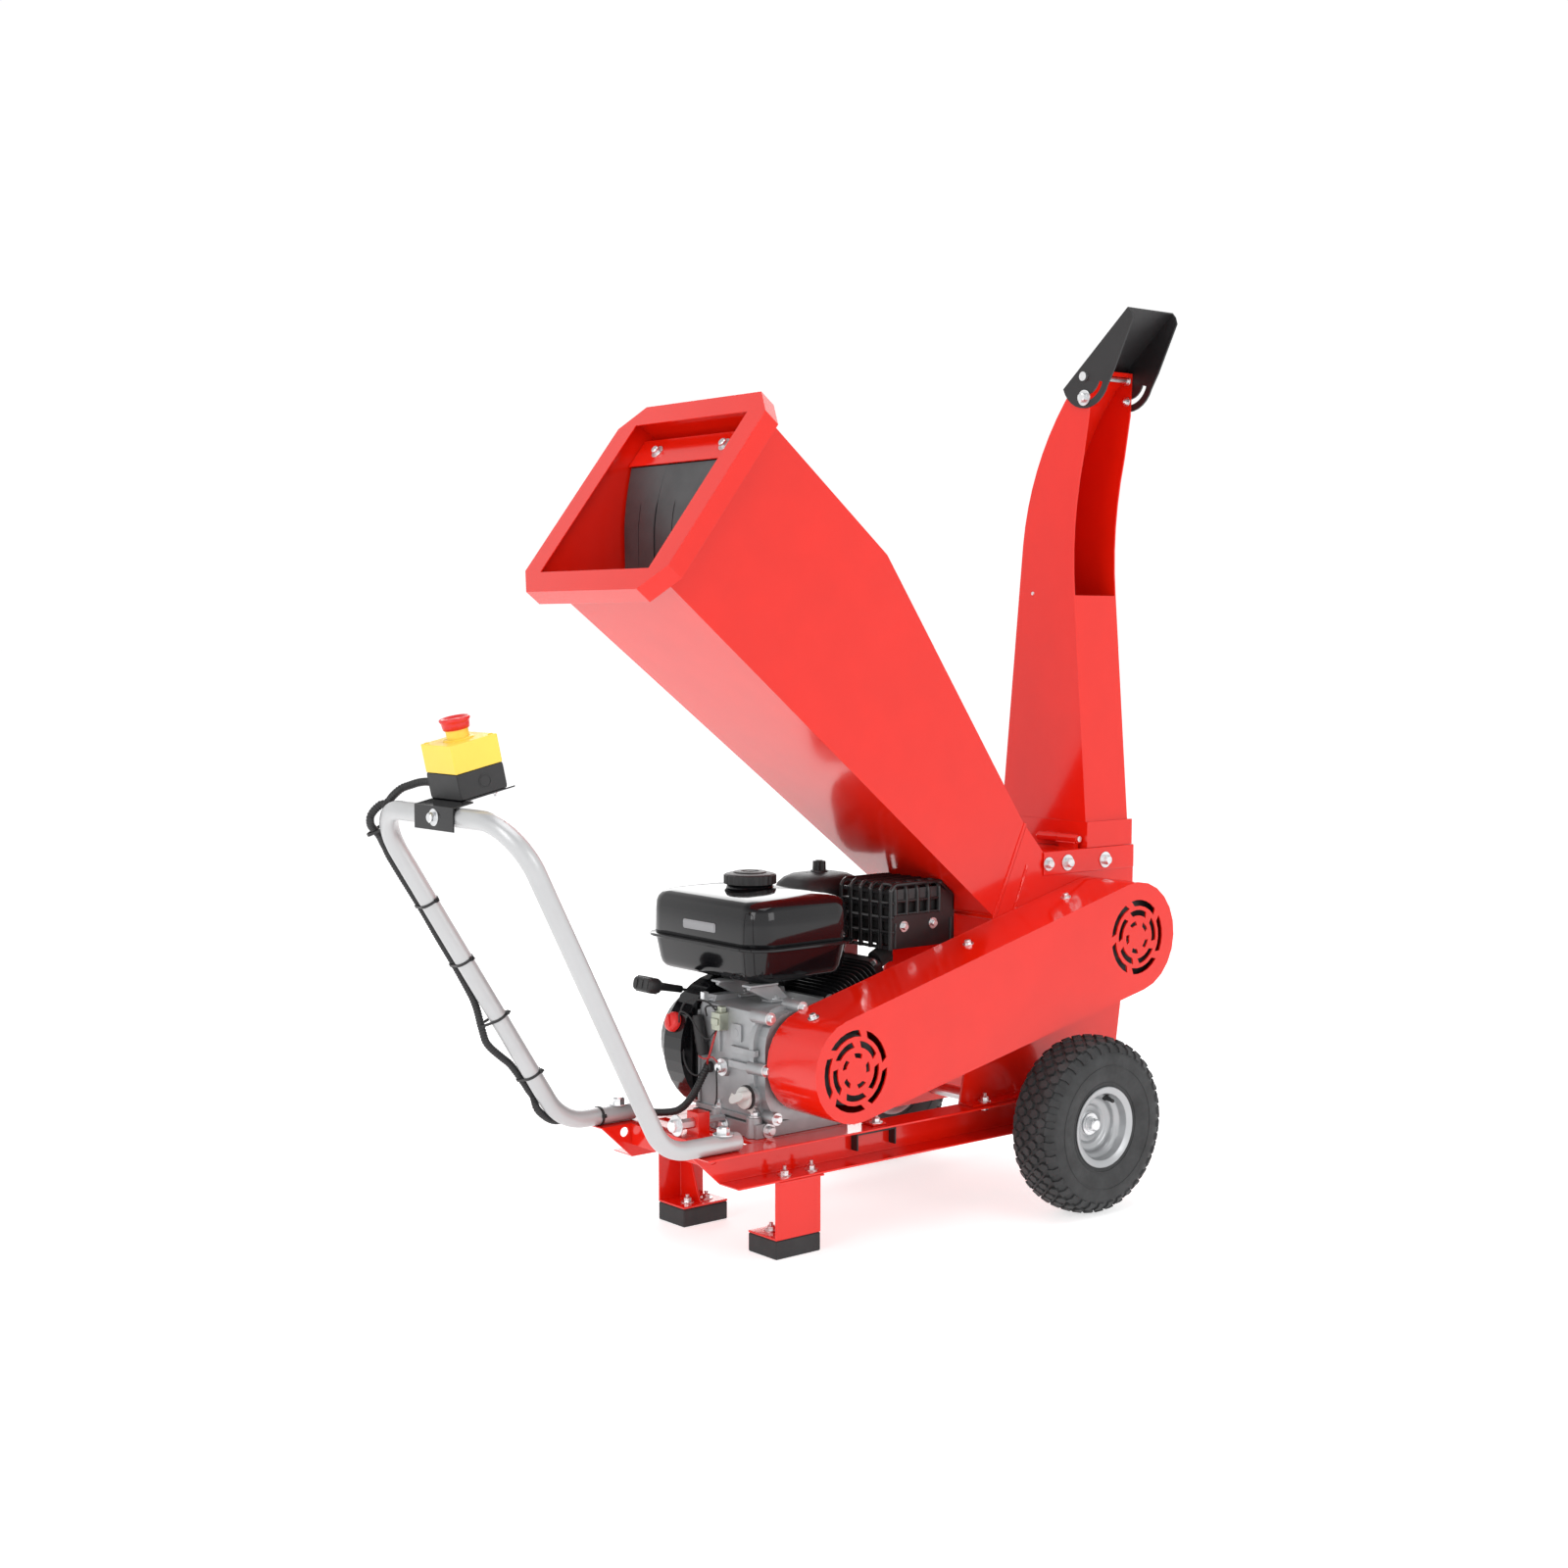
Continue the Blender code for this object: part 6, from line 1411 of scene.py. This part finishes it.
def build_stop_base():
    """The knock-out ring on the stop box's base, and the rounded posts in its corners."""
    half_y = 0.0365
    knock = plane(
        STOP_MIDDLE + STOP_ALONG * 0.004 + STOP_RISE * 0.0165 + Vector((0, -half_y, 0)), STOP_ALONG,
        STOP_RISE,
    )
    mesh = bmesh.new()
    add_turned(
        mesh, [(0.0080, -0.0005), (0.0080, 0.0004), (0.0088, 0.0004), (0.0088, -0.0005)], 40, knock, True,
    )
    add_turned(mesh, [(0.0068, 0.0003), (0.0072, -0.0005)], 40, knock)
    for side in (-1, 1):
        for end in (-1, 1):
            post = STOP_MIDDLE + STOP_ALONG * (0.0329 * end) + Vector((0, side * (half_y - 0.0016), 0))
            add_tube(mesh, [post + STOP_RISE * 0.003, post + STOP_RISE * 0.030], 0.0018, 10)
    piece("stop_base_details", mesh, MOULDED_BLACK, "chassis")


def build_stop_cover():
    """The collar round the stop button and the screw wells of the cover, then the screws and bracket bolt."""
    top = plane(STOP_MIDDLE + STOP_RISE * 0.070, STOP_ALONG, FAR)
    collar = [
        (0.0148, -0.0005), (0.0195, -0.0005), (0.0195, 0.0012), (0.0188, 0.0018), (0.0160, 0.0022),
        (0.0148, 0.0022),
    ]
    well = [(0.0022, -0.0004), (0.0036, -0.0004), (0.0036, 0.0005), (0.0030, 0.0008), (0.0022, 0.0005)]
    mesh = bmesh.new()
    add_turned(mesh, collar, 48, top, True)
    for x in (-0.0285, 0.0285):
        for y in (-0.0305, 0.0305):
            add_turned(mesh, well, 24, top @ Matrix.Translation((x, y, 0)), True)
    piece("stop_cover_details", mesh, YELLOW, "chassis")
    rows = []
    for x, y in ((-0.012, -0.020), (0.024, -0.020), (-0.012, 0.020), (0.024, 0.020)):
        spot = STOP_MIDDLE + STOP_ALONG * x - STOP_RISE * 0.0024 + Vector((0, y, 0))
        rows.append((spot, -STOP_RISE, 0.0055, 0.003))
    bolts("stop_screws", "chassis", rows)
    bolts("stop_bracket_bolt", "chassis", [(at(-0.9600, -0.0100, 0.6160), TO_HANDLE, 0.0115, 0.0)])


def build_stop_button():
    """The mushroom: dished on top, with a rolled rim and a skirt that passes round the collar."""
    roof = 0.0928
    mushroom = [
        (0.0040, 0.0030), (0.0048, 0.0025), (0.0100, 0.0022), (0.0130, 0.0028), (0.0158, 0.0046),
        (0.0184, 0.0049), (0.0197, 0.0040), (0.0200, 0.0026), (0.0194, 0.0010), (0.0180, -0.0008),
        (0.0177, -0.0030), (0.0171, -0.0092), (0.0160, -0.0100), (0.0151, -0.0100), (0.0150, 0.0),
    ]
    axis = Matrix.Translation(STOP_MIDDLE) @ Matrix((STOP_ALONG, FAR, STOP_RISE)).transposed().to_4x4()
    mesh = bmesh.new()
    add_turned(mesh, [(radius, roof + height) for radius, height in mushroom], 56, axis)
    piece("stop_mushroom", mesh, STOP_RED, "stop_button", node="estop_button", angle=55)


# ---------------------------------------------------------------------------------------------
# Hopper, chute and deflector
# ---------------------------------------------------------------------------------------------


def build_curtain():
    """A slit rubber sheet that bellies between its edges, in six strips."""
    low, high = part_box("rubber_flap")
    inset = 0.0005
    half_top = (high.y - low.y) / 2 - 0.001
    half_low = half_top - 0.006
    middle_y = (low.y + high.y) / 2
    length = high.z - low.z - 2 * inset
    belly_depth = 0.024
    ripple_depth = 0.0011
    half_slit = 0.0012
    slit_start = 0.22
    strips = 6
    rows = 20
    across = 5
    mesh = bmesh.new()
    for strip in range(strips):
        grid = []
        for row in range(rows + 1):
            share = row / rows
            half = half_top + (half_low - half_top) * share
            gap = 0.0 if share < slit_start else half_slit
            left = -half + 2 * half * strip / strips + (gap if strip else 0)
            right = -half + 2 * half * (strip + 1) / strips - (gap if strip < strips - 1 else 0)
            line = []
            for step in range(across + 1):
                y = left + (right - left) * step / across
                bow = 1 - (y / half) ** 2
                belly = -belly_depth * (0.6 + 0.4 * bow) * math.sin(min(1.0, share * 2.4) * math.pi / 2)
                ripple = ripple_depth * math.sin(strip * 2.4 + 1.0) * share
                line.append(
                    Vector((high.x - inset + belly + ripple, middle_y + y, high.z - inset - share * length))
                )
            grid.append(line)
        add_sheet(mesh, grid, Vector((-0.0032, 0, 0)))
    piece("curtain_strips", mesh, CURTAIN, "curtain", node="rubber_flap", angle=40)


def build_hopper_details():
    """The bolts of the curtain's clamp, and the weld beads that join the hopper to its throat."""
    across, rise = slanted(-37.9)
    mouth = at(-0.6335, 0.0, 1.0282)
    seat = mouth + across * 0.0268 + rise * 0.101
    bolts(
        "clamp_bolts", "chassis", [(seat + Vector((0, y, 0)), -across, 0.0105, 0.0) for y in (-0.072, 0.078)],
    )
    ends = [at(-0.0560, -0.1075, 0.3830), at(-0.0320, -0.1075, 0.4420), at(-0.0080, -0.1075, 0.5000)]
    weld = even_route(smooth_route(ends, 24), 0.0016)
    radii = [0.0017 + 0.0004 * math.sin(index * 2.3) for index in range(len(weld))]
    mesh = bmesh.new()
    for side in (-0.1068, 0.1068):
        bead = [
            Vector((point.x + 0.0006 * math.sin(index * 1.9), side, point.z))
            for index, point in enumerate(weld)
        ]
        add_tube(mesh, bead, radii, 8)
    piece("weld_beads", mesh, RED, "chassis")


def build_chute_details():
    """The nuts that hold the deflector's stay, and a rivet on the chute's face."""
    inner_face = 0.2197
    outer_face = 0.1242
    bolts("chute_nuts", "chute", [
        (at(inner_face, -0.0890, 1.2286), TO_HANDLE, 0.0075, 0.003),
        (at(inner_face, -0.0880, 1.1970), TO_HANDLE, 0.0075, 0.003),
        (at(outer_face, -0.0880, 1.1970), TO_HANDLE, 0.0125, 0.0),
    ])
    mesh = bmesh.new()
    rivet = [(0, 0.0016), (0.0016, 0.0014), (0.0027, 0.0006), (0.0029, 0.0)]
    add_turned(mesh, rivet, 20, place(at(0.1278, 0.018, 0.905), TO_HANDLE))
    piece("chute_rivet", mesh, ZINC, "chute")


def build_hinge_weld():
    bead = [at(0.1095, y, 0.5245) for y in (-0.092, -0.080, -0.066, -0.055)]
    mesh = bmesh.new()
    add_tube(mesh, smooth_route(bead, 8), 0.0014, 8)
    piece("hinge_weld", mesh, RED, "chassis")


def build_mount_bar():
    """The channel under the engine plate, from rail to rail."""
    start = -0.352
    end = -0.278
    foot = 0.1215
    top = 0.1462
    web = 0.0028
    roof = top - 0.003
    outline = [
        (start, foot), (start + web, foot), (start + web, roof), (end - web, roof), (end - web, foot),
        (end, foot), (end, top), (start, top),
    ]
    mesh = bmesh.new()
    add_prism(mesh, outline, -0.1160, 0.1160, SIDE_VIEW)
    piece("mount_bar", mesh, SATIN_BLACK, "chassis", bevel=0.0008)


# ---------------------------------------------------------------------------------------------
# Camera, light and floor
# ---------------------------------------------------------------------------------------------


def add_object(name, data):
    made = bpy.data.objects.new(name, data)
    bpy.context.scene.collection.objects.link(made)
    return made


def build_camera():
    data = bpy.data.cameras.new("camera")
    data.lens = 49.40
    data.sensor_width = 36.0
    data.shift_x = 0.00995
    data.shift_y = 0.01193
    data.clip_start = 0.05
    camera = add_object("camera", data)
    camera.location = at(-2.3154, -2.3320, 0.8436)
    camera.rotation_euler = Vector((0.62927, 0.77320, -0.07861)).to_track_quat("-Z", "Y").to_euler()
    bpy.context.scene.camera = camera


def build_floor():
    """A wide pale floor, lit a little from within so that it stays even to the horizon."""
    reach = 90
    mesh = bmesh.new()
    add_box(mesh, (-reach, -reach, -0.05), (reach, reach, 0.0))
    data = bpy.data.meshes.new("floor")
    mesh.to_mesh(data)
    mesh.free()
    pale = bpy.data.materials.new("pale_floor")
    pale.use_nodes = True
    shader = pale.node_tree.nodes["Principled BSDF"]
    shader.inputs["Base Color"].default_value = (0.68, 0.68, 0.68, 1.0)
    shader.inputs["Roughness"].default_value = 0.8
    shader.inputs["Emission Color"].default_value = (1.0, 1.0, 1.0, 1.0)
    shader.inputs["Emission Strength"].default_value = 0.63
    data.materials.append(pale)
    add_object("floor", data)


def build_backdrop():
    """White at the horizon, and greyer overhead."""
    world = bpy.data.worlds.new("studio")
    world.use_nodes = True
    tree = world.node_tree
    backdrop = tree.nodes["Background"]
    direction = tree.nodes.new("ShaderNodeTexCoord")
    split = tree.nodes.new("ShaderNodeSeparateXYZ")
    ramp = tree.nodes.new("ShaderNodeValToRGB")
    ramp.color_ramp.elements[0].position = 0.42
    ramp.color_ramp.elements[0].color = (1.0, 1.0, 1.0, 1.0)
    ramp.color_ramp.elements[1].position = 0.80
    ramp.color_ramp.elements[1].color = (0.30, 0.30, 0.31, 1.0)
    tree.links.new(direction.outputs["Generated"], split.inputs["Vector"])
    tree.links.new(split.outputs["Z"], ramp.inputs["Fac"])
    tree.links.new(ramp.outputs["Color"], backdrop.inputs["Color"])
    backdrop.inputs["Strength"].default_value = 1.02
    bpy.context.scene.world = world


def soft_light(name, where, size, power):
    """A rectangular lamp that faces the middle of the object."""
    target = Vector((0.0, 0.0, 0.6))
    data = bpy.data.lights.new(name, "AREA")
    data.shape = "RECTANGLE"
    data.size, data.size_y = size
    data.energy = power
    lamp = add_object(name, data)
    lamp.location = where
    lamp.rotation_euler = (target - Vector(where)).to_track_quat("-Z", "Y").to_euler()


def build_studio():
    bpy.context.scene.view_settings.view_transform = "Standard"
    bpy.context.scene.view_settings.look = "None"
    build_floor()
    build_backdrop()
    soft_light("overhead", (0.2, -0.3, 3.6), (3.4, 2.6), 62)
    soft_light("left_box", (-3.6, -0.9, 2.0), (1.4, 2.2), 34)
    soft_light("front_box", (0.9, -3.9, 1.6), (1.8, 1.8), 26)
    soft_light("back_box", (2.4, 3.2, 2.2), (2.2, 2.2), 40)


def build_engine():
    build_tank()
    build_tank_plate()
    build_fuel_cap()
    build_tank_feet()
    build_muffler_guard()
    build_painted_shade_box()
    build_air_filter()
    build_cylinder()
    build_crankcase()
    build_oil_cap()
    build_tag()
    build_air_shroud()
    build_starter()
    build_starter_grip()
    build_switch_knob()
    build_relay()
    build_ignition_module()
    build_leads()


def main():
    build_camera()
    build_studio()
    dress_frame()
    for word, side in (("near", -1), ("far", 1)):
        build_tyre(word, side)
        build_rim(word, side)
    build_wheel_ends()
    build_engine()
    build_handle()
    build_conduit()
    build_frame_fasteners()
    build_stop_base()
    build_stop_cover()
    build_stop_button()
    build_curtain()
    build_hopper_details()
    build_chute_details()
    build_hinge_weld()
    build_mount_bar()


main()
